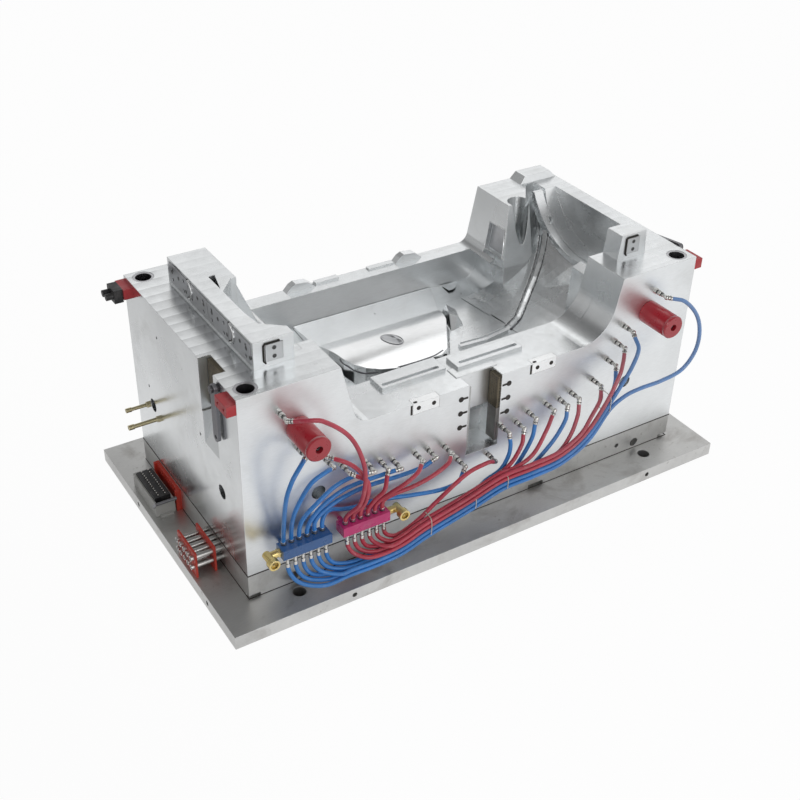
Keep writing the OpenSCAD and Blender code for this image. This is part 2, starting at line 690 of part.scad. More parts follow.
// Raised pads, posts and strips inside the cavity
module block_pads() {
    block([-362, -352, lip_z - over], [-92, -268, lip_z + 14]);
    block([-52, -372, lip_z - over], [238, -296, lip_z + 14]);
    block([pocket_x - 88, -half_w + pocket_d + 1, lip_z - over], [pocket_x + 92, -352, lip_z + 3]);
    // Low post beside the right front pillar
    along_y(-270, -196)
        polygon([[585, lip_z - 40], [660, lip_z - 40], [660, lip_z + 178], [640, lip_z + 186],
            [598, lip_z + 172]]);
    // Facetted block between the dome and the rails
    foot = seat_z + 20;
    polyhedron([[172, -16, foot], [262, 14, foot], [302, 132, foot], [232, 168, foot],
        [206, 62, floor_z + 46], [240, 52, floor_z + 36], [266, 108, floor_z + 30],
        [234, 130, floor_z + 50]],
        [[0, 3, 2], [0, 2, 1], [0, 1, 5], [0, 5, 4], [1, 2, 6], [1, 6, 5], [2, 3, 7], [2, 7, 6],
            [3, 0, 4], [3, 4, 7], [4, 5, 6], [4, 6, 7]]);
    // Land on the rear right corner
    polyhedron([[782, 398, top_z - 1], [972, 398, top_z - 1], [972, half_w, top_z - 1],
        [782, half_w, top_z - 1],
        [811, 408, top_z + land_h], [944, 408, top_z + land_h], [944, half_w, top_z + land_h],
        [811, half_w, top_z + land_h]],
        [[0, 1, 2, 3], [4, 7, 6, 5], [0, 4, 5, 1], [1, 5, 6, 2], [2, 6, 7, 3], [3, 7, 4, 0]]);
    // Bumps and strips along the rear lip
    for (x = [-262, 250])
        along_y(half_w - 34, half_w)
            polygon([[x - 66, lip_z - over], [x + 66, lip_z - over], [x + 66, lip_z], [x + 30, lip_z + 28],
                [x - 24, lip_z + 34], [x - 44, lip_z + 24], [x - 66, lip_z]]);
    block([-190, half_w - 26, lip_z - over], [-84, half_w, lip_z + 8]);
    block([60, half_w - 26, lip_z - over], [182, half_w, lip_z + 6]);
}

// Bores, seats and slots
module block_holes() {
    for (p = bush_places) {
        translate([p[0], p[1], top_z - bush_l])
            cylinder(d = bush_d, h = bush_l + over);
        translate([p[0], p[1], top_z - bush_l - 60])
            cylinder(d = bush_bore + 4, h = bush_l);
    }
    for (x = [-lift_x, lift_x])
        rod_y([x, -half_w + 90, lift_z], lift_hole_d, 90 + over);
    for (y = [-lift_y, lift_y])
        rod_left([-half_l + 90, y, lift_z], lift_hole_d, 90 + over);
    for (x = [-post_x, post_x])
        rod_y([x, -half_w + 45, post_z], 16, 45 + over);
    // Seat of the two inserts
    translate([0, 0, seat_z])
        linear_extrude(top_z - seat_z)
            polygon([[-345 - dome_gap, 166], [-348 - dome_gap, 30], [-330 - dome_gap, -158],
                [-292, -192 - dome_gap], [-24, -192 - dome_gap], [62, -158], [180, 20], [238, 166]]);
    translate([0, 0, seat_z])
        linear_extrude(top_z - seat_z)
            polygon([[-346, 160], [-326, 399], [336, 399], [223, 160]]);
    pad_slot(-345, -118, -332, lip_z + 2);
    pad_slot(-24, 222, -347, lip_z + 2);
    // Gates and nozzles
    for (x = [-gate_x, 0, gate_x])
        translate([x, gate_y, foot_z - over]) {
            cylinder(d = nozzle_d + 4, h = seat_z - foot_z - 30 + over);
            cylinder(d = pin_d + 2 * fit, h = top_z - foot_z);
        }
    // Seats of the wear plates and lip plates
    block([ridge_x - 1, -ridge_y + 16, top_z + 10],
        [ridge_x + wear_t - 2, ridge_y - 16, top_z + lock_h - 10]);
    along_y(-ridge_y - 1, -ridge_y + wear_t - 2)
        translate([ridge_x + 76, top_z + lock_h / 2])
            square([66, 66], center = true);
    along_y(lock_y - lock_d / 2 - 1, lock_y - lock_d / 2 + wear_t - 2)
        translate([lock_x + 2, top_z + lock_h / 2])
            square([62, 66], center = true);
    for (x = lip_plate_xs)
        block([x - 56, -half_w - 1, lip_z - 46], [x + 56, -half_w + 32, lip_z + over]);
    for (p = keyed) {
        rod_y([p.x, -half_w + 14, p.y], 15, 14 + over);
        block([min(p.x, p.x - sign(p.x - pocket_x) * 26), -half_w - over, p.y - 4],
            [max(p.x, p.x - sign(p.x - pocket_x) * 26), -half_w + 6, p.y + 4]);
    }
    // Threaded holes of the couplers, straps and side nipples
    for (p = concat(blue_ends, red_ends))
        rod_y([p[0], -half_w + 60, p[1]], 14, 60 + over);
    for (p = nipples)
        rod_left([-half_l + 60, p[0], p[1]], 14, 60 + over);
    rod_left([-half_l + 26, strap_left_at.y, strap_left_at.z], 14, 26 + over);
    translate([half_l - 26, strap_right_at.y, strap_right_at.z])
        rotate([0, 90, 0])
            cylinder(d = 14, h = 26 + over);
    // Small holes in the left side
    for (p = [[190, top_z - 120], [-150, top_z - 330], [330, top_z - 405]])
        rod_left([-half_l + 20, p[0], p[1]], 12, 30);
}

module dome_insert() {
    crown_z = seat_z + dome_h - dome_r;
    color([0.86, 0.87, 0.88])
        difference() {
            intersection() {
                translate([0, 0, seat_z])
                    linear_extrude(dome_h + over)
                        polygon(dome_plan);
                translate([-380, -30, crown_z])
                    rotate([0, 90, 0])
                        cylinder(r = dome_r, h = 700);
            }
            translate([-107, -8, crown_z + dome_r + 4])
                rotate([0, 0, -62])
                    scale([1, 0.5, 0.55])
                        sphere(r = 44);
        }
}

module slope_insert() {
    h = slope_front_z - seat_z + 3 * over;
    color([0.8, 0.81, 0.82])
        difference() {
            intersection() {
                along_x(-400, 400)
                    polygon([[slope_y[0], seat_z], [slope_y[1], seat_z], [slope_y[1], slope_back_z],
                        [slope_y[0], slope_front_z]]);
                translate([0, 0, seat_z - over])
                    linear_extrude(h)
                        polygon(slope_plan);
            }
            translate([0, gate_y, seat_z - over])
                cylinder(d = pin_d + 2 * fit, h = h);
        }
}

module guide_bushes() {
    color([0.72, 0.73, 0.75])
        for (p = bush_places)
            translate([p[0], p[1], top_z - bush_l])
                difference() {
                    cylinder(d = bush_d - 2 * seat, h = bush_l - 1);
                    translate([0, 0, -over])
                        cylinder(d = bush_bore, h = bush_l + 2 * over);
                }
}

module ridge_wear_plates() {
    gap = 4;
    n = 4;
    l = (ridge_l - 2 * 17 - (n - 1) * gap) / n;
    color([0.55, 0.56, 0.58])
        for (i = [0 : n - 1])
            difference() {
                translate([ridge_x - 2, -ridge_y + 17 + i * (l + gap), top_z + 11])
                    cube([wear_t, l, lock_h - 22]);
                for (u = [0.2, 0.8], z = [30, 70])
                    rod_left([ridge_x + 5, -ridge_y + 17 + i * (l + gap) + u * l, top_z + z], 14, 12);
            }
}

module end_wear_plates() {
    color([0.6, 0.61, 0.63]) {
        screwed_plate([ridge_x + 76, -ridge_y, top_z + lock_h / 2], [64, 64]);
        screwed_plate([lock_x + 2, lock_y - lock_d / 2, top_z + lock_h / 2], [60, 64]);
    }
}

// Wear plate in a front face, two screw holes one above the other
module screwed_plate(at, size) {
    difference() {
        translate(at + [-size.x / 2, -2, -size.y / 2])
            cube([size.x, wear_t, size.y]);
        for (s = [-1, 1])
            rod_y(at + [0, 5, s * size.y / 4], 14, 12);
    }
}

module pocket_wear_plates() {
    l = pocket_h - 30;
    color([0.5, 0.47, 0.42]) {
        for (s = [-1, 1])
            translate([pocket_x + s * (pocket_w - wear_t) / 2, -half_w + pocket_d / 2 + 2,
                lip_z - 14 - l / 2])
                cube([wear_t, pocket_d - 10, l], center = true);
        translate([-half_l + side_pocket_d - wear_t, side_pocket_y - side_pocket_w / 2 + 3, top_z - 196])
            cube([wear_t, side_pocket_w - 6, 184]);
    }
}

module lip_plates() {
    color([0.83, 0.84, 0.85])
        for (x = lip_plate_xs)
            difference() {
                block([x - 55.5, -half_w, lip_z - 46], [x + 55.5, -half_w + 32, lip_z]);
                for (s = [-1, 1])
                    rod_y([x + s * 32, -half_w + 12, lip_z - 22], 14, 20);
            }
}

module post(x) {
    color([0.62, 0.1, 0.17])
        translate([x, -half_w, post_z])
            rotate([90, 0, 0])
                difference() {
                    union() {
                        cylinder(d = post_d, h = post_l - 3);
                        translate([0, 0, post_l - 3])
                            cylinder(d1 = post_d, d2 = post_d - 6, h = 3);
                    }
                    translate([0, 0, -over])
                        cylinder(d = 17, h = post_l + 2 * over);
                    translate([0, 0, post_l - 30])
                        cylinder(d = 27, h = 30 + over);
                }
}

module post_left() {
    post(-post_x);
}

module post_right() {
    post(post_x);
}

module post_screws() {
    color([0.35, 0.35, 0.37])
        for (x = [-post_x, post_x])
            translate([x, -half_w, post_z])
                rotate([90, 0, 0])
                    difference() {
                        union() {
                            translate([0, 0, -40])
                                cylinder(d = 16 - 2 * seat, h = post_l + 10);
                            translate([0, 0, post_l - 30])
                                cylinder(d = 24, h = 16);
                        }
                        translate([0, 0, post_l - 22])
                            cylinder(d = 14, h = 20, $fn = 6);
                    }
}

module corner_blocks() {
    color([0.68, 0.13, 0.14])
        for (p = [[-half_l - corner_t, -half_w], [-half_l - corner_t, half_w - corner_l],
            [half_l, -half_w]])
            translate([p[0], p[1], top_z - 55])
                difference() {
                    cube([corner_t, corner_l, 40]);
                    for (y = [20, corner_l - 20])
                        translate([-over, y, 20])
                            rotate([0, 90, 0])
                                cylinder(d = 11, h = 60);
                }
}

// Transport strap, hanging from its upper hole
module strap() {
    rotate([90, 0, 90])
        linear_extrude(strap_t)
            difference() {
                union() {
                    circle(d = strap_w);
                    translate([0, -strap_l])
                        circle(d = strap_w);
                    translate([-strap_w / 2, -strap_l])
                        square([strap_w, strap_l]);
                }
                circle(d = 16);
                translate([0, -strap_l])
                    circle(d = 16);
            }
}

module strap_left() {
    color([0.3, 0.3, 0.32])
        translate(strap_left_at)
            strap();
}

module strap_right() {
    color([0.3, 0.3, 0.32])
        translate(strap_right_at)
            rotate([strap_right_turn, 0, 0])
                strap();
}

module strap_screws() {
    color([0.45, 0.45, 0.47]) {
        shoulder_screw([-half_l, strap_left_at.y, strap_left_at.z], -1);
        shoulder_screw([half_l, strap_right_at.y, strap_right_at.z], 1);
    }
}

// Screw that a strap turns on, from a place in a side face of the block
module shoulder_screw(at, side) {
    translate(at)
        scale_x(side)
            rotate([0, 90, 0]) {
                translate([0, 0, -24])
                    cylinder(d = 14 - 2 * seat, h = 24 + 6 + strap_t + seat);
                cylinder(d = 26, h = 6 - seat);
                cylinder(d = 16 - 2 * fit, h = 6 + strap_t + seat);
                translate([0, 0, 6 + strap_t + seat])
                    cylinder(d = 26, h = 9);
            }
}

module rear_latch() {
    x0 = -half_l - corner_t;
    z0 = top_z - 66;
    color([0.08, 0.08, 0.09]) {
        block([x0 - 34, half_w - 78, z0], [x0, half_w - 8, z0 + 52]);
        for (y = [half_w - 60, half_w - 26])
            rod_left([x0 - 33, y, z0 + 26], 26, 27);
    }
}

// Distributor bar with its channel and stand-offs
module bar(x, top_y) {
    difference() {
        union() {
            block([x - bar_l / 2, bar_y - bar_deep / 2, bar_z - bar_s / 2],
                [x + bar_l / 2, bar_y + bar_deep / 2, bar_z + bar_s / 2]);
            for (s = [-1, 1])
                rod_y([x + s * 60, -half_w, bar_z - 10], 18, -half_w - bar_y - bar_deep / 2 + 1);
        }
        along_x(x - bar_l / 2 + 12, x + bar_l / 2 - 12)
            translate([bar_y, bar_z])
                circle(d = 20);
        bar_mouth(x);
        for (k = [0 : 5]) {
            translate([outlet_x(x, k), top_y, bar_z])
                cylinder(d = 8, h = bar_s);
            translate([outlet_x(x, k), bottom_y, bar_z - bar_s])
                cylinder(d = 8, h = bar_s);
        }
    }
}

module bar_mouth(x) {
    side = x == blue_bar_x ? -1 : 1;
    translate([x + side * (bar_l / 2 - 14), bar_y, bar_z])
        rotate([0, side * 90, 0])
            cylinder(d = 20, h = 30);
}

module blue_bar() {
    color([0.18, 0.37, 0.63])
        bar(blue_bar_x, blue_top_y);
}

module magenta_bar() {
    color([0.75, 0.2, 0.43])
        bar(magenta_bar_x, magenta_top_y);
}

// Elbow from a bar's end, open to the front
module elbow(at, side) {
    difference() {
        union() {
            translate(at - [side * 10, 0, 0])
                rotate([0, side * 90, 0])
                    cylinder(d = 20 - 2 * seat, h = 14);
            translate(at)
                rotate([0, side * 90, 0])
                    cylinder(d = 34, h = 10, $fn = 6);
            translate(at)
                rotate([0, side * 90, 0])
                    cylinder(d = 28, h = 46);
            translate(at + [side * 46, 14, 0])
                rotate([90, 0, 0])
                    cylinder(d = 30, h = 46);
            translate(at + [side * 46, -30, 0])
                rotate([90, 0, 0])
                    cylinder(d = 42, h = 24);
        }
        translate(at - [side * 11, 0, 0])
            rotate([0, side * 90, 0])
                cylinder(d = 14, h = 57);
        translate(at + [side * 46, 0, 0])
            rotate([90, 0, 0])
                cylinder(d = 14, h = 60);
        translate(at + [side * 46, -40, 0])
            rotate([90, 0, 0])
                cylinder(d = 28, h = 20);
    }
}

module brass_couplings() {
    color([0.78, 0.66, 0.33]) {
        elbow([blue_bar_x - bar_l / 2, bar_y, bar_z], -1);
        elbow([magenta_bar_x + bar_l / 2, bar_y, bar_z], 1);
    }
}

module bar_nipples() {
    color([0.8, 0.8, 0.78])
        for (b = [[blue_bar_x, blue_top_y], [magenta_bar_x, magenta_top_y]], k = [0 : 5]) {
            translate([outlet_x(b[0], k), b[1], bar_z + bar_s / 2])
                difference() {
                    cylinder(d = 18, h = top_nipple_l);
                    translate([0, 0, -over])
                        cylinder(d = 7, h = top_nipple_l + 2 * over);
                }
            translate([outlet_x(b[0], k), bottom_y, bar_z - bar_s / 2 - bottom_nipple_l])
                difference() {
                    union() {
                        cylinder(d = 18, h = 14);
                        cylinder(d = 12, h = bottom_nipple_l);
                        translate([0, 0, bottom_nipple_l - 7])
                            cylinder(d = 18, h = 7);
                    }
                    translate([0, 0, -over])
                        cylinder(d = 7, h = bottom_nipple_l + 2 * over);
                }
        }
}

// Ball joint coupler, its ferrule pointing to the hose's last route point
module coupler(at, route_point) {
    ball = [at[0], ball_y, at[1]];
    tip = ball + ferrule_l * unit(route_point - ball);
    rod_y([at[0], -half_w + 14, at[1]], 14 - 2 * seat, 20);
    rod_y([at[0], -half_w, at[1]], 24, 9, $fn = 6);
    rod_y([at[0], -half_w, at[1]], 13, -half_w - ball_y);
    translate(ball)
        sphere(d = 20);
    rod(ball, tip, 17);
}

module block_couplers() {
    color([0.82, 0.81, 0.78]) {
        for (i = [0 : 11])
            coupler(blue_ends[i], blue_routes[i][len(blue_routes[i]) - 1]);
        for (i = [0 : 11])
            coupler(red_ends[i], red_routes[i][len(red_routes[i]) - 1]);
    }
}

// One hose, drawn as rings of eight points along its spline
module hose(points) {
    c = centre_line(points);
    n = len(c);
    r = hose_d / 2;
    rings = [for (i = [0 : n - 1])
        let (t = i == 0 ? [0, 0, sign(points[1].z - points[0].z)]
                : unit(c[min(n - 1, i + 1)] - c[i - 1]),
            s = unit(cross(t, [0, 1, 0])), u = cross(s, t))
            each [for (k = [0 : 7]) c[i] + r * (cos(45 * k) * s + sin(45 * k) * u)]];
    m = 8 * (n - 1);
    polyhedron(rings, concat([[for (k = [0 : 7]) k]], [[for (k = [7 : -1 : 0]) m + k]],
        [for (i = [0 : n - 2], k = [0 : 7])
            let (a = 8 * i + k, b = 8 * i + (k + 1) % 8)
                each [[a, a + 8, b + 8], [a, b + 8, b]]]));
}

module blue_hose(i) {
    color([0.24, 0.5, 0.78])
        hose(full_route(blue_starts[i], blue_routes[i], blue_ends[i]));
}

module red_hose(i) {
    color([0.75, 0.22, 0.28])
        hose(full_route(red_starts[i], red_routes[i], red_ends[i]));
}

module plug_housing() {
    color([0.62, 0.63, 0.64])
        difference() {
            union() {
                translate(plug_at)
                    cube(plug_size);
                for (y = [plug_at.y - 14, plug_at.y + plug_size.y - 1])
                    translate([plug_at.x + 14, y, plug_at.z])
                        cube([plug_size.x - 28, 15, 8]);
            }
            translate(plug_at + [7, 7, 7])
                cube(plug_size - [14, 14, 0]);
            translate([plug_at.x - over, lever_pin.y, lever_pin.z])
                rotate([0, 90, 0])
                    cylinder(d = 6 + 2 * fit, h = plug_size.x + 2 * over);
        }
}

module plug_insert() {
    in = [plug_at.x + 7.5, plug_at.y + 20, plug_at.z + 7];
    size = [plug_size.x - 15, plug_size.y - 40, 66];
    color([0.07, 0.07, 0.08])
        difference() {
            translate(in)
                cube(size);
            for (i = [0 : 11], x = [-14, 14])
                translate([in.x + size.x / 2 + x, in.y + 10 + i * (size.y - 20) / 11, in.z + size.z - 12])
                    cylinder(d = 7, h = 20);
        }
}

module plug_bracket() {
    y0 = plug_at.y - 4;
    y1 = plug_at.y + plug_size.y - 10;
    z1 = plate_top + 92;
    color([0.78, 0.16, 0.1])
        difference() {
            union() {
                block([-half_l - 12, y0, plate_top], [-half_l, y1, z1]);
                block([-half_l - 22, y0, plate_top], [-half_l, y0 + 12, z1]);
                block([-half_l - 22, y1 - 12, plate_top], [-half_l, y1, z1]);
            }
            for (i = [0 : 5])
                rod_left([-half_l + over, plug_at.y + 30 + 30 * i, plate_top + 76], 12, 30);
        }
}

module plug_lever() {
    cheek = 3;
    arm = lever_bar - [lever_pin.y, lever_pin.z];
    l = norm(arm);
    color([0.5, 0.51, 0.52])
        translate(lever_pin) {
            for (x = [-lever_reach, lever_reach - cheek])
                translate([x, 0, 0])
                    rotate([atan2(arm[1], arm[0]) - 90, 0, 0])
                        rotate([90, 0, 90])
                            linear_extrude(cheek) {
                                circle(d = 14);
                                translate([-6, 0])
                                    square([12, l]);
                                translate([0, l])
                                    circle(d = 14);
                            }
            translate([-lever_reach, arm[0], arm[1]])
                rotate([0, 90, 0])
                    cylinder(d = 12, h = 2 * lever_reach);
            for (x = [-lever_reach, lever_reach - 8])
                translate([x, 0, 0])
                    rotate([0, 90, 0])
                        cylinder(d = 6, h = 8);
        }
}

module line_tubes() {
    color([0.5, 0.5, 0.5])
        for (i = [0 : tube_cols - 1], j = [0 : tube_rows - 1])
            translate(tube_place(-plate_l / 2, i, j))
                rotate([0, 90, 0])
                    difference() {
                        cylinder(d = tube_d, h = tube_l);
                        translate([0, 0, -over])
                            cylinder(d = tube_d - 6, h = tube_l + 2 * over);
                    }
}

module line_brackets() {
    color([0.78, 0.16, 0.1])
        for (x = [tubes_at.x - 4, -half_l - 0.32 * margin_x])
            difference() {
                block([x, tubes_at.y - 18, plate_top],
                    [x + 8, tubes_at.y + (tube_cols - 1) * tube_pitch + 18, plate_top + 110]);
                for (i = [0 : tube_cols - 1], j = [0 : tube_rows - 1])
                    translate(tube_place(x - over, i, j))
                        rotate([0, 90, 0])
                            cylinder(d = tube_d + 2 * seat, h = 20);
            }
}

module side_nipples() {
    color([0.72, 0.68, 0.5])
        for (p = nipples)
            difference() {
                union() {
                    rod_left([-half_l + 20, p[0], p[1]], 14 - 2 * seat, 24);
                    rod_left([-half_l, p[0], p[1]], 26, 12, $fn = 6);
                    rod_left([-half_l, p[0], p[1]], p[3] - 4, p[2]);
                    rod_left([-half_l - p[2] + 22, p[0], p[1]], p[3], 22);
                }
                rod_left([-half_l + 25, p[0], p[1]], 7, p[2] + 30);
            }
}

module hot_runner() {
    nozzle_top = seat_z - 31;
    color([0.55, 0.55, 0.54])
        difference() {
            union() {
                block([-gate_x - 52, gate_y - 42, beam_z], [gate_x + 52, gate_y + 42, beam_z + beam_h]);
                block([-46, -66, beam_z], [46, gate_y, beam_z + beam_h]);
                for (x = [-gate_x, 0, gate_x])
                    translate([x, gate_y, beam_z + beam_h - 1])
                        cylinder(d = nozzle_d, h = nozzle_top - beam_z - beam_h);
            }
            for (x = [-gate_x, 0, gate_x])
                translate([x, gate_y, beam_z - over]) {
                    cylinder(d = piston_d + 2 * fit, h = over + piston_t + pin_stroke + 3);
                    cylinder(d = pin_d + 2 * fit, h = 500);
                }
            along_x(-gate_x, gate_x)
                translate([gate_y, beam_z + 38])
                    circle(d = 16);
            along_y(0, gate_y)
                translate([0, beam_z + 38])
                    circle(d = 16);
            translate([0, 0, beam_z - over])
                cylinder(d = 16, h = 38 + over);
        }
}

module valve_pin(x, tip_z) {
    color([0.85, 0.85, 0.86])
        translate([x, gate_y, beam_z + seat]) {
            cylinder(d = piston_d, h = piston_t);
            cylinder(d = pin_d, h = tip_z - pin_stroke - beam_z - seat);
        }
}

module valve_pin_left() {
    valve_pin(-gate_x, skin(-gate_x, gate_y));
}

module valve_pin_middle() {
    valve_pin(0, slope_z(gate_y));
}

module valve_pin_right() {
    valve_pin(gate_x, skin(gate_x, gate_y));
}

module sprue_bush() {
    color([0.7, 0.7, 0.72])
        difference() {
            union() {
                translate([0, 0, 14])
                    cylinder(d = 90, h = 18 - seat);
                translate([0, 0, 14])
                    cylinder(d = 50, h = beam_z - 14);
            }
            translate([0, 0, 10])
                cylinder(d = 12, h = beam_z);
        }
}

module locating_ring() {
    color([0.5, 0.5, 0.52])
        difference() {
            cylinder(d = 160 - 2 * seat, h = 14);
            translate([0, 0, -over])
                cylinder(d = 60, h = 14 + 2 * over);
            for (a = [45 : 90 : 315])
                rotate(a)
                    translate([55, 0, -over])
                        cylinder(d = 11, h = 14 + 2 * over);
        }
}

base_plate();
runner_plate();
cavity_block();
dome_insert();
slope_insert();
guide_bushes();
ridge_wear_plates();
end_wear_plates();
pocket_wear_plates();
lip_plates();
post_left();
post_right();
post_screws();
corner_blocks();
strap_left();
strap_right();
strap_screws();
rear_latch();
blue_bar();
magenta_bar();
brass_couplings();
block_couplers();
bar_nipples();
plug_housing();
plug_insert();
plug_bracket();
plug_lever();
line_tubes();
line_brackets();
side_nipples();
hot_runner();
valve_pin_left();
valve_pin_middle();
valve_pin_right();
sprue_bush();
locating_ring();
blue_hose(0);  // blue_hose_1
blue_hose(1);  // blue_hose_2
blue_hose(2);  // blue_hose_3
blue_hose(3);  // blue_hose_4
blue_hose(4);  // blue_hose_5
blue_hose(5);  // blue_hose_6
blue_hose(6);  // blue_hose_7
blue_hose(7);  // blue_hose_8
blue_hose(8);  // blue_hose_9
blue_hose(9);  // blue_hose_10
blue_hose(10);  // blue_hose_11
blue_hose(11);  // blue_hose_12
red_hose(0);  // red_hose_1
red_hose(1);  // red_hose_2
red_hose(2);  // red_hose_3
red_hose(3);  // red_hose_4
red_hose(4);  // red_hose_5
red_hose(5);  // red_hose_6
red_hose(6);  // red_hose_7
red_hose(7);  // red_hose_8
red_hose(8);  // red_hose_9
red_hose(9);  // red_hose_10
red_hose(10);  // red_hose_11
red_hose(11);  // red_hose_12
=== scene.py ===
"""Looks of the bumper mould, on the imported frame."""
import math

import bmesh
import bpy
from mathutils import Matrix, Vector
from mathutils.bvhtree import BVHTree


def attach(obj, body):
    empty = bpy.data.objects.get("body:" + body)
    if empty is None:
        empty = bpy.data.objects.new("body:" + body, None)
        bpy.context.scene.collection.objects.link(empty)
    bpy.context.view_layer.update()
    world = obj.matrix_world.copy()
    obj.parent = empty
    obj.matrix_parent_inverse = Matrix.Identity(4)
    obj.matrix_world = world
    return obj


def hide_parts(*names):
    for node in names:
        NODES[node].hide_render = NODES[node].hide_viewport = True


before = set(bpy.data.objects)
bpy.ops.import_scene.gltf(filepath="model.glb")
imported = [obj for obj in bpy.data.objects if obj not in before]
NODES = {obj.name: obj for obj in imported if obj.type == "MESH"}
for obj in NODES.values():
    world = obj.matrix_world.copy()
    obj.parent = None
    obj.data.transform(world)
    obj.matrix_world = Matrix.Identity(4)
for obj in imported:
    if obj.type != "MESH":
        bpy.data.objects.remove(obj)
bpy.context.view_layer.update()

# Camera, solved from the photograph
CAMERA_AT = (-2.21652, -3.35099, 3.02585)
RIGHT = (0.84805357, -0.52952787, 0.02013382)
DOWN = (-0.28431086, -0.48673756, -0.82598661)
FORWARD = (0.44718282, 0.69475663, -0.56333006)
FOCAL_PX = 1201.67
IMAGE_PX = 800

# Main places of the mould, in metres
PLATE_TOP = 0.055
FOOT_Z = 0.16
TOP_Z = 0.9
HALF_L = 0.975
HALF_W = 0.475
# Height from which rays look down, and sides of the small turned parts
RAY_TOP = 1.2
SMALL_SIDES = 20

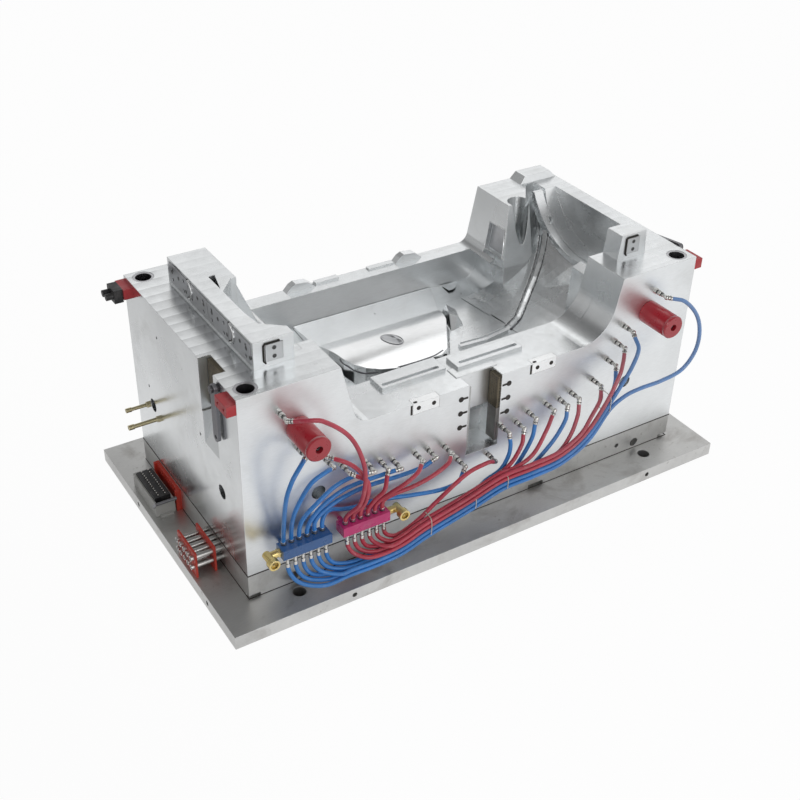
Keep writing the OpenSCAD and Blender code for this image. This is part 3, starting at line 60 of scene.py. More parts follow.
# Places of the hoses' centre lines, in metres
HOSE_D = 0.016
HOSES = {
    "blue_hose_1": [(-0.86, -0.532, 0.314), (-0.868, -0.56, 0.43), (-0.866, -0.582, 0.54),
        (-0.845, -0.588, 0.608), (-0.805, -0.57, 0.64), (-0.782, -0.549, 0.64)],
    "blue_hose_2": [(-0.83, -0.532, 0.314), (-0.83, -0.552, 0.42), (-0.8, -0.565, 0.505),
        (-0.765, -0.573, 0.56), (-0.715, -0.568, 0.576), (-0.681, -0.546, 0.563)],
    "blue_hose_3": [(-0.8, -0.532, 0.314), (-0.786, -0.532, 0.375), (-0.728, -0.535, 0.43),
        (-0.647, -0.524, 0.466), (-0.56, -0.52, 0.476), (-0.523, -0.529, 0.477)],
    "blue_hose_4": [(-0.77, -0.532, 0.314), (-0.752, -0.53, 0.36), (-0.701, -0.526, 0.402),
        (-0.606, -0.522, 0.436), (-0.447, -0.52, 0.436), (-0.412, -0.529, 0.442)],
    "blue_hose_5": [(-0.74, -0.532, 0.314), (-0.736, -0.53, 0.348), (-0.705, -0.527, 0.374),
        (-0.64, -0.522, 0.396), (-0.537, -0.518, 0.408), (-0.368, -0.52, 0.402), (-0.29, -0.528, 0.412),
        (-0.262, -0.532, 0.427)],
    "blue_hose_6": [(-0.71, -0.532, 0.314), (-0.706, -0.528, 0.34), (-0.686, -0.516, 0.356),
        (-0.655, -0.506, 0.352), (-0.615, -0.498, 0.33), (-0.56, -0.498, 0.316), (-0.48, -0.498, 0.312),
        (-0.336, -0.528, 0.3), (-0.215, -0.54, 0.285), (-0.148, -0.548, 0.3), (-0.125, -0.54, 0.329)],
    "blue_hose_7": [(-0.71, -0.558, 0.222), (-0.686, -0.563, 0.164), (-0.618, -0.571, 0.14),
        (-0.53, -0.571, 0.136), (-0.428, -0.571, 0.143), (-0.322, -0.571, 0.177), (-0.136, -0.571, 0.222),
        (-0.08, -0.561, 0.236), (-0.025, -0.55, 0.258), (0.04, -0.552, 0.285), (0.076, -0.548, 0.335),
        (0.084, -0.544, 0.38), (0.082, -0.539, 0.405)],
    "blue_hose_8": [(-0.8, -0.558, 0.222), (-0.771, -0.563, 0.15), (-0.689, -0.571, 0.121),
        (-0.641, -0.571, 0.121), (-0.53, -0.571, 0.117), (-0.424, -0.571, 0.125), (-0.317, -0.571, 0.159),
        (-0.131, -0.571, 0.204), (0.012, -0.571, 0.243), (0.075, -0.562, 0.256), (0.132, -0.552, 0.3),
        (0.18, -0.55, 0.38), (0.197, -0.539, 0.429)],
    "blue_hose_9": [(-0.74, -0.558, 0.222), (-0.716, -0.569, 0.164), (-0.648, -0.59, 0.14),
        (-0.53, -0.59, 0.136), (-0.428, -0.59, 0.143), (-0.322, -0.59, 0.177), (-0.136, -0.59, 0.222),
        (0.009, -0.59, 0.262), (0.14, -0.582, 0.266), (0.205, -0.566, 0.28), (0.285, -0.56, 0.345),
        (0.335, -0.552, 0.41), (0.345, -0.542, 0.437)],
    "blue_hose_10": [(-0.83, -0.558, 0.222), (-0.801, -0.569, 0.15), (-0.719, -0.59, 0.121),
        (-0.641, -0.59, 0.121), (-0.53, -0.59, 0.117), (-0.424, -0.59, 0.125), (-0.317, -0.59, 0.159),
        (-0.131, -0.59, 0.204), (0.012, -0.59, 0.243), (0.151, -0.59, 0.246), (0.288, -0.59, 0.257),
        (0.409, -0.59, 0.318), (0.503, -0.59, 0.434), (0.545, -0.572, 0.515), (0.565, -0.547, 0.548)],
    "blue_hose_11": [(-0.77, -0.558, 0.222), (-0.746, -0.576, 0.164), (-0.678, -0.608, 0.14),
        (-0.64, -0.608, 0.14), (-0.53, -0.608, 0.136), (-0.428, -0.608, 0.143), (-0.322, -0.608, 0.177),
        (-0.136, -0.608, 0.222), (0.009, -0.608, 0.262), (0.15, -0.608, 0.265), (0.283, -0.608, 0.275),
        (0.396, -0.608, 0.332), (0.488, -0.608, 0.446), (0.548, -0.606, 0.529), (0.588, -0.604, 0.59),
        (0.626, -0.588, 0.652), (0.634, -0.552, 0.681)],
    "blue_hose_12": [(-0.86, -0.558, 0.222), (-0.83, -0.576, 0.149), (-0.747, -0.608, 0.119),
        (-0.641, -0.608, 0.119), (-0.53, -0.608, 0.115), (-0.424, -0.608, 0.123), (-0.317, -0.608, 0.157),
        (-0.13, -0.608, 0.202), (0.013, -0.608, 0.241), (0.151, -0.608, 0.244), (0.288, -0.608, 0.255),
        (0.41, -0.608, 0.316), (0.505, -0.608, 0.433), (0.575, -0.607, 0.468), (0.65, -0.606, 0.476),
        (0.76, -0.606, 0.476), (0.86, -0.606, 0.495), (0.915, -0.606, 0.56), (0.928, -0.6, 0.64),
        (0.905, -0.59, 0.72), (0.85, -0.57, 0.785), (0.805, -0.545, 0.798)],
    "red_hose_1": [(-0.625, -0.545, 0.314), (-0.59, -0.585, 0.4), (-0.58, -0.605, 0.5),
        (-0.59, -0.608, 0.6), (-0.64, -0.605, 0.72), (-0.735, -0.598, 0.812), (-0.785, -0.58, 0.82),
        (-0.813, -0.551, 0.811)],
    "red_hose_2": [(-0.595, -0.545, 0.314), (-0.565, -0.582, 0.4), (-0.56, -0.584, 0.48),
        (-0.59, -0.585, 0.545), (-0.625, -0.578, 0.585), (-0.655, -0.562, 0.602), (-0.669, -0.55, 0.605)],
    "red_hose_3": [(-0.565, -0.545, 0.314), (-0.54, -0.556, 0.4), (-0.541, -0.564, 0.445),
        (-0.553, -0.566, 0.48), (-0.584, -0.546, 0.498)],
    "red_hose_4": [(-0.535, -0.545, 0.314), (-0.514, -0.562, 0.375), (-0.484, -0.574, 0.412),
        (-0.456, -0.546, 0.448)],
    "red_hose_5": [(-0.505, -0.545, 0.314), (-0.496, -0.548, 0.345), (-0.455, -0.562, 0.378),
        (-0.4, -0.578, 0.412), (-0.345, -0.572, 0.436), (-0.317, -0.549, 0.441)],
    "red_hose_6": [(-0.475, -0.545, 0.314), (-0.47, -0.548, 0.346), (-0.43, -0.56, 0.368),
        (-0.37, -0.572, 0.38), (-0.29, -0.578, 0.4), (-0.215, -0.57, 0.424), (-0.191, -0.549, 0.427)],
    "red_hose_7": [(-0.475, -0.558, 0.222), (-0.464, -0.563, 0.195), (-0.426, -0.571, 0.183),
        (-0.333, -0.571, 0.217), (-0.262, -0.566, 0.258), (-0.13, -0.572, 0.345), (-0.025, -0.556, 0.345),
        (0.008, -0.543, 0.328)],
    "red_hose_8": [(-0.565, -0.558, 0.222), (-0.548, -0.563, 0.18), (-0.496, -0.571, 0.163),
        (-0.432, -0.571, 0.163), (-0.328, -0.571, 0.197), (-0.14, -0.571, 0.242), (0.007, -0.571, 0.282),
        (0.07, -0.574, 0.318), (0.125, -0.56, 0.375), (0.141, -0.544, 0.405)],
    "red_hose_9": [(-0.505, -0.558, 0.222), (-0.494, -0.569, 0.195), (-0.456, -0.59, 0.183),
        (-0.333, -0.59, 0.217), (-0.146, -0.59, 0.262), (0.003, -0.59, 0.303), (0.09, -0.59, 0.306),
        (0.165, -0.586, 0.335), (0.235, -0.566, 0.41), (0.273, -0.544, 0.444)],
    "red_hose_10": [(-0.595, -0.558, 0.222), (-0.578, -0.569, 0.18), (-0.526, -0.59, 0.163),
        (-0.432, -0.59, 0.163), (-0.328, -0.59, 0.197), (-0.14, -0.59, 0.242), (0.007, -0.59, 0.282),
        (0.15, -0.59, 0.285), (0.277, -0.59, 0.295), (0.34, -0.582, 0.35), (0.385, -0.562, 0.42),
        (0.399, -0.545, 0.451)],
    "red_hose_11": [(-0.535, -0.558, 0.222), (-0.524, -0.576, 0.195), (-0.486, -0.608, 0.183),
        (-0.436, -0.608, 0.183), (-0.333, -0.608, 0.217), (-0.146, -0.608, 0.262), (0.003, -0.608, 0.303),
        (0.149, -0.608, 0.306), (0.272, -0.608, 0.315), (0.37, -0.608, 0.364), (0.418, -0.602, 0.425),
        (0.475, -0.578, 0.468), (0.499, -0.55, 0.483)],
    "red_hose_12": [(-0.625, -0.558, 0.222), (-0.608, -0.576, 0.18), (-0.556, -0.608, 0.163),
        (-0.432, -0.608, 0.163), (-0.328, -0.608, 0.197), (-0.14, -0.608, 0.242), (0.007, -0.608, 0.282),
        (0.15, -0.608, 0.285), (0.277, -0.608, 0.295), (0.384, -0.608, 0.348), (0.472, -0.608, 0.458),
        (0.548, -0.588, 0.562), (0.582, -0.562, 0.602), (0.596, -0.547, 0.618)],
}


def new_node(tree, kind, **props):
    node = tree.nodes.new(kind)
    for key, value in props.items():
        setattr(node, key, value)
    return node


class Mat:
    """A node material built step by step."""

    def __init__(self, name):
        self.mat = bpy.data.materials.new(name)
        self.mat.use_nodes = True
        self.tree = self.mat.node_tree
        self.bsdf = self.tree.nodes["Principled BSDF"]
        self.coord = self.add("ShaderNodeTexCoord").outputs["Object"]
        self.bevel = None

    def add(self, kind, **props):
        return new_node(self.tree, kind, **props)

    def put(self, socket, value):
        if isinstance(value, bpy.types.NodeSocket):
            self.tree.links.new(value, socket)
        else:
            socket.default_value = value

    def noise(self, scale=1.0, detail=3.0, rough=0.55, stretch=None, distort=0.0):
        node = self.add("ShaderNodeTexNoise")
        vector = self.coord
        if stretch:
            mapping = self.add("ShaderNodeMapping")
            self.put(mapping.inputs["Vector"], self.coord)
            mapping.inputs["Scale"].default_value = stretch
            vector = mapping.outputs["Vector"]
        self.put(node.inputs["Vector"], vector)
        node.inputs["Scale"].default_value = scale
        node.inputs["Detail"].default_value = detail
        node.inputs["Roughness"].default_value = rough
        node.inputs["Distortion"].default_value = distort
        return node.outputs["Fac"]

    def ramp(self, fac, low, high, a=0.0, b=1.0):
        node = self.add("ShaderNodeMapRange", clamp=True)
        self.put(node.inputs["Value"], fac)
        for key, value in zip(("From Min", "From Max", "To Min", "To Max"), (low, high, a, b)):
            node.inputs[key].default_value = value
        return node.outputs["Result"]

    def math(self, op, a, b=0.0):
        node = self.add("ShaderNodeMath", operation=op)
        self.put(node.inputs[0], a)
        self.put(node.inputs[1], b)
        return node.outputs[0]

    def mix(self, fac, a, b):
        node = self.add("ShaderNodeMix", data_type="RGBA")
        self.put(node.inputs[0], fac)
        for socket, value in ((node.inputs[6], a), (node.inputs[7], b)):
            self.put(socket, value if isinstance(value, bpy.types.NodeSocket) else (*value, 1.0))
        return node.outputs[2]

    def scaled(self, color, tone):
        """The colour, lighter or darker by the tone."""
        node = self.add("ShaderNodeVectorMath", operation="SCALE")
        node.inputs[0].default_value = color
        self.put(node.inputs["Scale"], tone)
        return node.outputs[0]

    def part(self, vector, axis):
        node = self.add("ShaderNodeSeparateXYZ")
        self.put(node.inputs[0], vector)
        return node.outputs[axis]

    def normal(self):
        return self.add("ShaderNodeNewGeometry").outputs["Normal"]

    def edges(self, radius=0.003, low=0.0, high=0.25):
        """1 on sharp edges, 0 on plain faces."""
        bevel = self.add("ShaderNodeBevel", samples=4)
        bevel.inputs["Radius"].default_value = radius
        dot = self.add("ShaderNodeVectorMath", operation="DOT_PRODUCT")
        self.put(dot.inputs[0], bevel.outputs["Normal"])
        self.put(dot.inputs[1], self.normal())
        self.bevel = bevel.outputs["Normal"]
        return self.ramp(self.math("SUBTRACT", 1.0, dot.outputs["Value"]), low, high)

    def bump(self, height, strength, distance):
        node = self.add("ShaderNodeBump")
        node.inputs["Strength"].default_value = strength
        node.inputs["Distance"].default_value = distance
        self.put(node.inputs["Height"], height)
        if self.bevel:
            self.put(node.inputs["Normal"], self.bevel)
        self.put(self.bsdf.inputs["Normal"], node.outputs["Normal"])

    def finish(self, color, rough, metallic=0.0):
        socket = isinstance(color, bpy.types.NodeSocket)
        self.put(self.bsdf.inputs["Base Color"], color if socket else (*color, 1.0))
        self.put(self.bsdf.inputs["Roughness"], rough)
        self.put(self.bsdf.inputs["Metallic"], metallic)
        return self.mat


def milling(m, tone):
    """Wide cutter marks on the top of the block, across the left end."""
    wave = m.add("ShaderNodeTexWave", wave_type="BANDS", bands_direction="Y", wave_profile="SAW")
    wave.inputs["Scale"].default_value = 5.6
    wave.inputs["Distortion"].default_value = 0.6
    wave.inputs["Detail"].default_value = 2.0
    m.put(wave.inputs["Vector"], m.coord)
    flat = m.ramp(m.part(m.normal(), "Z"), 0.95, 0.99)
    high = m.ramp(m.part(m.coord, "Z"), TOP_Z - 0.015, TOP_Z - 0.005)
    left = m.ramp(m.part(m.coord, "X"), -0.87, -0.84, 1.0, 0.25)
    where = m.math("MULTIPLY", m.math("MULTIPLY", flat, high), left)
    return m.math("ADD", tone, m.math("MULTIPLY", m.math("MULTIPLY", wave.outputs["Fac"], where), -0.26))


def steel(name, color, rough=0.3, grain=(1, 1, 14), stain=0.0, stain_color=(0.2, 0.17, 0.13),
          edge=0.35, milled=False):
    m = Mat(name)
    fine = m.noise(34, 3, 0.6, stretch=grain)
    clouds = m.ramp(m.noise(2.2, 4, 0.6), 0.3, 0.7, 0.9, 1.06)
    tone = m.math("ADD", clouds, m.ramp(fine, 0.3, 0.7, -0.04, 0.04))
    if milled:
        tone = milling(m, tone)
    out = m.scaled(color, tone)
    rim = m.edges()
    roughness = m.ramp(m.noise(4, 4, 0.55), 0.3, 0.75, rough - 0.05, rough + 0.07)
    if milled:
        ground_side = m.ramp(m.math("ABSOLUTE", m.part(m.normal(), "Y")), 0.9, 0.98, 0.0, 0.13)
        roughness = m.math("ADD", roughness, ground_side)
    if stain:
        cloud = m.ramp(m.noise(5, 6, 0.65, distort=0.5), 0.52, 0.75)
        specks = m.math("MULTIPLY", m.ramp(m.noise(38, 6, 0.7), 0.6, 0.7),
                        m.ramp(m.noise(3, 3, 0.5), 0.45, 0.6))
        cloud = m.math("MAXIMUM", cloud, specks)
        dirt = m.math("MULTIPLY", cloud, stain)
        out = m.mix(dirt, out, stain_color)
        roughness = m.math("ADD", roughness, m.math("MULTIPLY", dirt, 0.25))
    # Painted highlight: the colour goes near white on sharp edges
    out = m.mix(m.math("MULTIPLY", rim, edge), out, (0.95, 0.95, 0.95))
    m.bump(fine, 0.05, 0.0004)
    return m.finish(out, roughness, 1.0)


def bronze():
    """Sliding plate of the lock pockets, with its rows of graphite plugs."""
    m = Mat("pocket_bronze")
    plugs = m.add("ShaderNodeTexVoronoi")
    plugs.inputs["Scale"].default_value = 85.0
    plugs.inputs["Randomness"].default_value = 0.25
    m.put(plugs.inputs["Vector"], m.coord)
    dark = m.ramp(plugs.outputs["Distance"], 0.28, 0.34, 1.0, 0.0)
    tone = m.ramp(m.noise(12, 5, 0.65), 0.3, 0.7, 0.7, 1.15)
    base = m.mix(dark, m.scaled((0.2, 0.17, 0.12), tone), (0.05, 0.045, 0.04))
    # The left plate of the front pocket is plain steel
    x = m.part(m.coord, "X")
    plain = m.math("MULTIPLY", m.ramp(x, -0.5, -0.49), m.ramp(x, 0.0, 0.01, 1.0, 0.0))
    m.bump(m.noise(60, 3, 0.6), 0.1, 0.0005)
    out = m.mix(plain, base, m.scaled((0.62, 0.63, 0.62), tone))
    # Its right plate is dark steel below
    below = m.math("MULTIPLY", m.ramp(m.part(m.coord, "Z"), 0.503, 0.506, 1.0, 0.0), m.ramp(x, 0.0, 0.01))
    out = m.mix(below, out, m.scaled((0.3, 0.29, 0.28), tone))
    return m.finish(out, m.ramp(m.noise(9, 4, 0.6), 0.3, 0.7, 0.4, 0.6), 0.8)


def paint(name, color, rough=0.35, chips=0.5, under=(0.35, 0.34, 0.33), dust=0.2, coat=0.0):
    m = Mat(name)
    base = m.scaled(color, m.ramp(m.noise(7, 4, 0.6), 0.3, 0.7, 0.85, 1.1))
    worn = m.math("MULTIPLY", m.edges(0.002, 0.02, 0.2), m.ramp(m.noise(60, 4, 0.7), 0.5, 0.6, 0, chips))
    dusty = m.math("MULTIPLY", m.ramp(m.noise(16, 5, 0.7), 0.55, 0.8), dust)
    out = m.mix(dusty, base, (0.5, 0.46, 0.44))
    out = m.mix(worn, out, under)
    m.bsdf.inputs["Coat Weight"].default_value = coat
    m.bsdf.inputs["Coat Roughness"].default_value = 0.12
    m.bump(m.noise(180, 2, 0.6), 0.06, 0.0004)
    return m.finish(out, m.ramp(m.noise(25, 4, 0.6), 0.3, 0.7, rough - 0.08, rough + 0.12))


def hose_material(name, color):
    m = Mat(name)
    base = m.scaled(color, m.ramp(m.noise(9, 4, 0.6), 0.3, 0.7, 0.85, 1.15))
    dusty = m.math("MULTIPLY", m.ramp(m.noise(40, 5, 0.7), 0.54, 0.75), 0.15)
    m.bsdf.inputs["Coat Weight"].default_value = 0.35
    m.bsdf.inputs["Coat Roughness"].default_value = 0.2
    m.bump(m.noise(300, 2, 0.5), 0.04, 0.0003)
    # Painted light: paler where the bundle climbs to the right
    painted_light = m.math("MULTIPLY", m.ramp(m.part(m.coord, "X"), 0.1, 0.95), 0.3)
    out = m.mix(dusty, m.mix(painted_light, base, (0.62, 0.66, 0.7)), (0.7, 0.68, 0.68))
    return m.finish(out, m.ramp(m.noise(30, 3, 0.6), 0.3, 0.7, 0.3, 0.45))


MATS = {
    "plate": steel("plate_steel", (0.66, 0.66, 0.65), 0.42, (1, 12, 1), 0.6, (0.3, 0.275, 0.25)),
    "block": steel("block_steel", (0.86, 0.88, 0.89), 0.24, (1, 1, 14), 0.18, (0.42, 0.4, 0.36),
                   milled=True),
    "insert": steel("insert_steel", (0.95, 0.96, 0.965), 0.2, (1, 9, 1)),
    "bush": steel("bush_steel", (0.5, 0.5, 0.52), 0.3, (9, 9, 1), 0.2),
    "wear": steel("wear_steel", (0.62, 0.63, 0.65), 0.35, (1, 9, 1), 0.3, (0.2, 0.18, 0.15)),
    "end_wear": steel("end_wear_steel", (0.62, 0.63, 0.64), 0.35, (9, 1, 1), 0.2),
    "screw": steel("screw_steel", (0.12, 0.12, 0.13), 0.4, (1, 1, 1), 0.1),
    "strap": steel("strap_steel", (0.26, 0.26, 0.28), 0.45, (1, 1, 9), 0.3),
    "nickel": steel("nickel_fitting", (0.7, 0.69, 0.66), 0.2, (1, 1, 1), 0.25, (0.12, 0.11, 0.1)),
    "collar": steel("dark_collar", (0.1, 0.1, 0.1), 0.35, (1, 1, 1), 0.2),
    "tube": steel("tube_steel", (0.6, 0.59, 0.57), 0.25, (9, 1, 1), 0.3),
    "runner": steel("runner_steel", (0.4, 0.4, 0.4), 0.35, (1, 9, 1), 0.2),
    "brass": steel("brass_fitting", (0.78, 0.62, 0.26), 0.25, (1, 1, 1), 0.25, (0.4, 0.3, 0.12)),
    "side_brass": steel("side_brass", (0.62, 0.55, 0.34), 0.35, (9, 1, 1), 0.25, (0.3, 0.26, 0.15)),
    "bronze": bronze(),
    "post": paint("post_red", (0.5, 0.012, 0.028), 0.3, 0.4, coat=0.6, dust=0.08),
    "corner": paint("corner_red", (0.55, 0.04, 0.05), 0.4),
    "bracket": paint("bracket_red", (0.62, 0.05, 0.03), 0.4),
    "black": paint("black_plastic", (0.02, 0.02, 0.022), 0.4, 0.2, (0.1, 0.1, 0.1)),
    # Dark for the seams between plates, and painted shade in grooves, gaps and key slots
    "seam": paint("seam_dirt_and_shade", (0.035, 0.03, 0.026), 0.7, 0.0),
    "plug": paint("plug_grey", (0.5, 0.5, 0.48), 0.5),
    "blue_bar": paint("blue_anodised", (0.03, 0.12, 0.34), 0.3, coat=0.3),
    "magenta_bar": paint("magenta_anodised", (0.62, 0.02, 0.18), 0.3, coat=0.3),
    "tie": paint("tie_nylon", (0.72, 0.68, 0.6), 0.45, 0.0),
    "blue_hose": hose_material("hose_blue", (0.035, 0.235, 0.66)),
    "red_hose": hose_material("hose_red", (0.54, 0.042, 0.078)),
}

NODE_MATS = {
    "plate": ("base_plate", "runner_plate"),
    "block": ("cavity_block",),
    "insert": ("dome_insert", "slope_insert", "lip_plates"),
    "bush": ("guide_bushes", "sprue_bush", "valve_pin_left", "valve_pin_middle", "valve_pin_right"),
    "wear": ("ridge_wear_plates",),
    "end_wear": ("end_wear_plates",),
    "bronze": ("pocket_wear_plates",),
    "screw": ("post_screws", "strap_screws", "locating_ring"),
    "strap": ("strap_left", "strap_right", "plug_lever"),
    "nickel": ("block_couplers", "bar_nipples"),
    "tube": ("line_tubes",),
    "runner": ("hot_runner",),
    "brass": ("brass_couplings",),
    "side_brass": ("side_nipples",),
    "post": ("post_left", "post_right"),
    "corner": ("corner_blocks",),
    "bracket": ("plug_bracket", "line_brackets"),
    "black": ("rear_latch", "plug_insert"),
    "plug": ("plug_housing",),
    "blue_bar": ("blue_bar",),
    "magenta_bar": ("magenta_bar",),
}
for key, names in NODE_MATS.items():
    for name in names:
        obj = NODES[name]
        obj.data.materials.clear()
        obj.data.materials.append(MATS[key])


def link(name, data, mat, body="mould"):
    """New piece of the mould that rides on a body."""
    obj = bpy.data.objects.new(name, data)
    bpy.context.scene.collection.objects.link(obj)
    obj.data.materials.append(mat)
    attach(obj, body)
    return obj


class Solid:
    """A mesh gathered from several small shapes."""

    def __init__(self):
        self.verts = []
        self.faces = []

    def add(self, verts, faces):
        base = len(self.verts)
        self.verts += [tuple(v) for v in verts]
        self.faces += [tuple(base + i for i in face) for face in faces]

    def turned(self, at, axis, profile, sides=24):
        """Surface turned round an axis, from places along it and their radii."""
        along = Vector(axis).normalized()
        side = along.orthogonal().normalized()
        up = along.cross(side)
        verts = []
        for length, radius in profile:
            for k in range(sides):
                a = 2 * math.pi * k / sides
                verts.append(Vector(at) + along * length + radius * (math.cos(a) * side + math.sin(a) * up))
        faces = []
        for i in range(len(profile) - 1):
            for k in range(sides):
                a, b = i * sides + k, i * sides + (k + 1) % sides
                faces.append((a, b, b + sides, a + sides))
        last = (len(profile) - 1) * sides
        faces.append(tuple(range(sides))[::-1])
        faces.append(tuple(last + k for k in range(sides)))
        self.add(verts, faces)

    def slab(self, low, high, cut=0.0):
        """Box with its upright corners cut off, seen along Z."""
        x0, y0, z0 = low
        x1, y1, z1 = high
        plan = [(x0 + cut, y0), (x1 - cut, y0), (x1, y0 + cut), (x1, y1 - cut),
                (x1 - cut, y1), (x0 + cut, y1), (x0, y1 - cut), (x0, y0 + cut)]
        verts = [(x, y, z0) for x, y in plan] + [(x, y, z1) for x, y in plan]
        faces = [tuple(range(8))[::-1], tuple(range(8, 16))]
        faces += [(k, (k + 1) % 8, 8 + (k + 1) % 8, 8 + k) for k in range(8)]
        self.add(verts, faces)

    def build(self, name, mat, body="mould", sharp=0.6):
        mesh = bpy.data.meshes.new(name)
        mesh.from_pydata(self.verts, [], self.faces)
        bm = bmesh.new()
        bm.from_mesh(mesh)
        bmesh.ops.recalc_face_normals(bm, faces=bm.faces)
        for face in bm.faces:
            face.smooth = True
        for edge in bm.edges:
            edge.smooth = len(edge.link_faces) == 2 and edge.calc_face_angle(0) < sharp
        bm.to_mesh(mesh)
        bm.free()
        return link(name, mesh, mat, body)


def tube(name, points, radius, mat, body="mould", cyclic=False):
    curve = bpy.data.curves.new(name, "CURVE")
    curve.dimensions = "3D"
    curve.bevel_depth = radius
    curve.bevel_resolution = 4
    curve.use_fill_caps = not cyclic
    spline = curve.splines.new("POLY")
    spline.points.add(len(points) - 1)
    for point, co in zip(spline.points, points):
        point.co = (*co, 1.0)
    spline.use_cyclic_u = cyclic
    spline.use_smooth = True
    return link(name, curve, mat, body)


def heading(p, i):
    if i == 0:
        return Vector((0, 0, 1 if p[1].z > p[0].z else -1))
    if i == len(p) - 1:
        return (p[i] - p[i - 1]).normalized()
    return (p[i + 1] - p[i - 1]) / ((p[i + 1] - p[i]).length + (p[i] - p[i - 1]).length)


def centre_line(route, step=0.012):
    p = [Vector(q) for q in route]
    out = []
    for i in range(len(p) - 1):
        d = (p[i + 1] - p[i]).length
        a, b = heading(p, i) * d, heading(p, i + 1) * d
        n = max(2, round(d / step))
        for k in range(n):
            t = k / n
            q = t * t
            out.append((2 * q * t - 3 * q + 1) * p[i] + (q * t - 2 * q + t) * a
                       + (3 * q - 2 * q * t) * p[i + 1] + (q * t - q) * b)
    return out + [p[-1]]


# Hoses, smooth along the routes of the CAD nodes
LINES = {name: centre_line(route) for name, route in HOSES.items()}
for name, line in LINES.items():
    kind = "blue" if name.startswith("blue") else "red"
    obj = tube("tube_" + name, line, HOSE_D / 2, MATS[kind + "_hose"])
    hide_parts(name)


# Moulding surface of the wings: the CAD's facets lie under it by less than their height
FLOOR_Z = 0.551
WING_FLAT = 0.4
WING_RISE = TOP_Z - FLOOR_Z
WING_RIGHT = 0.85
WING_LEFT = 0.77
WING_R = ((WING_RIGHT - WING_FLAT) ** 2 + WING_RISE ** 2) / (2 * WING_RISE)
WING_FRONT = -0.265
WING_BACK = 0.392
ARCH_X = 0.83
ARCH_Z = 1.06
ARCH_R = 0.35
CELL = 0.004
SKIN_OFFSET = 0.0014
SHELF_UPPER = [(0.24, 0.005), (0.33, 0.015), (0.41, 0.038), (0.5, 0.062), (0.58, 0.098), (0.64, 0.138),
               (0.69, 0.182), (0.735, 0.228), (0.78, 0.27), (0.815, 0.312)]
SHELF_LOWER = [(0.15, -0.1), (0.255, -0.108), (0.362, -0.088), (0.452, -0.042), (0.532, 0.026),
               (0.586, 0.07), (0.64, 0.11), (0.69, 0.15), (0.738, 0.192), (0.774, 0.232)]
RAIL = [(0.13, -0.124), (0.25, -0.132), (0.365, -0.112), (0.46, -0.062), (0.545, 0.008), (0.6, 0.052),
        (0.655, 0.092), (0.705, 0.132), (0.752, 0.172), (0.784, 0.208)]


def tilt(y):
    return FLOOR_Z - 0.09 * y


def upper_skin(x, y):
    rise = 0.0 if x <= WING_FLAT else WING_R - math.sqrt(max(0.0, WING_R ** 2 - (x - WING_FLAT) ** 2))
    return tilt(y) + rise * (TOP_Z - tilt(y)) / WING_RISE


def skin(x, y):
    if x < 0:
        x = -x * WING_RIGHT / WING_LEFT
    fold = min(ARCH_X - 0.01, max(WING_FLAT - 0.01, 0.535 + 1.28 * y))
    high = upper_skin(x, y)
    if x > fold:
        t = min(1.0, (x - fold) / (ARCH_X - fold))
        arch = ARCH_Z - math.sqrt(max(0.0, ARCH_R ** 2 - y * y))
        high = min(high, upper_skin(fold, y) * (1 - t) + arch * t)
    return min(TOP_Z, high)


def inside(x, y, outline):
    odd = False
    for (ax, ay), (bx, by) in zip(outline, outline[1:] + outline[:1]):
        if (ay > y) != (by > y) and x < (bx - ax) * (y - ay) / (by - ay) + ax:
            odd = not odd
    return odd


def line_distance(x, y, line):
    best = 9.0
    for (ax, ay), (bx, by) in zip(line, line[1:]):
        dx, dy = bx - ax, by - ay
        t = min(1.0, max(0.0, ((x - ax) * dx + (y - ay) * dy) / (dx * dx + dy * dy)))
        best = min(best, math.hypot(x - ax - t * dx, y - ay - t * dy))
    return best


def trim_height(x, y):
    """Height of the shelf and the rail over the moulding surface."""
    if x < 0:
        return 0.0
    if line_distance(x, y, RAIL) < 0.0095:
        return 0.0105
    if inside(x, y, SHELF_UPPER + SHELF_LOWER[::-1]):
        return 0.0095
    return 0.0


def tree_of(node):
    """Search tree of the faces of a CAD node."""
    return BVHTree.FromPolygons([node.matrix_world @ v.co for v in node.data.vertices],
                                [tuple(p.vertices) for p in node.data.polygons])


def height_at(tree, x, y):
    """Height of the top face at a place in plan, or -1 where there is none."""
    hit = tree.ray_cast(Vector((x, y, RAY_TOP)), Vector((0, 0, -1)))[0]
    return hit.z if hit else -1.0


def wing_columns():
    top_angle = math.asin((ARCH_X - 0.001 - WING_FLAT) / WING_R)
    n = round(top_angle * WING_R / CELL)
    flat = [WING_FLAT - 0.008, WING_FLAT - 0.004]
    return flat + [WING_FLAT + WING_R * math.sin(top_angle * i / n) for i in range(n + 1)]


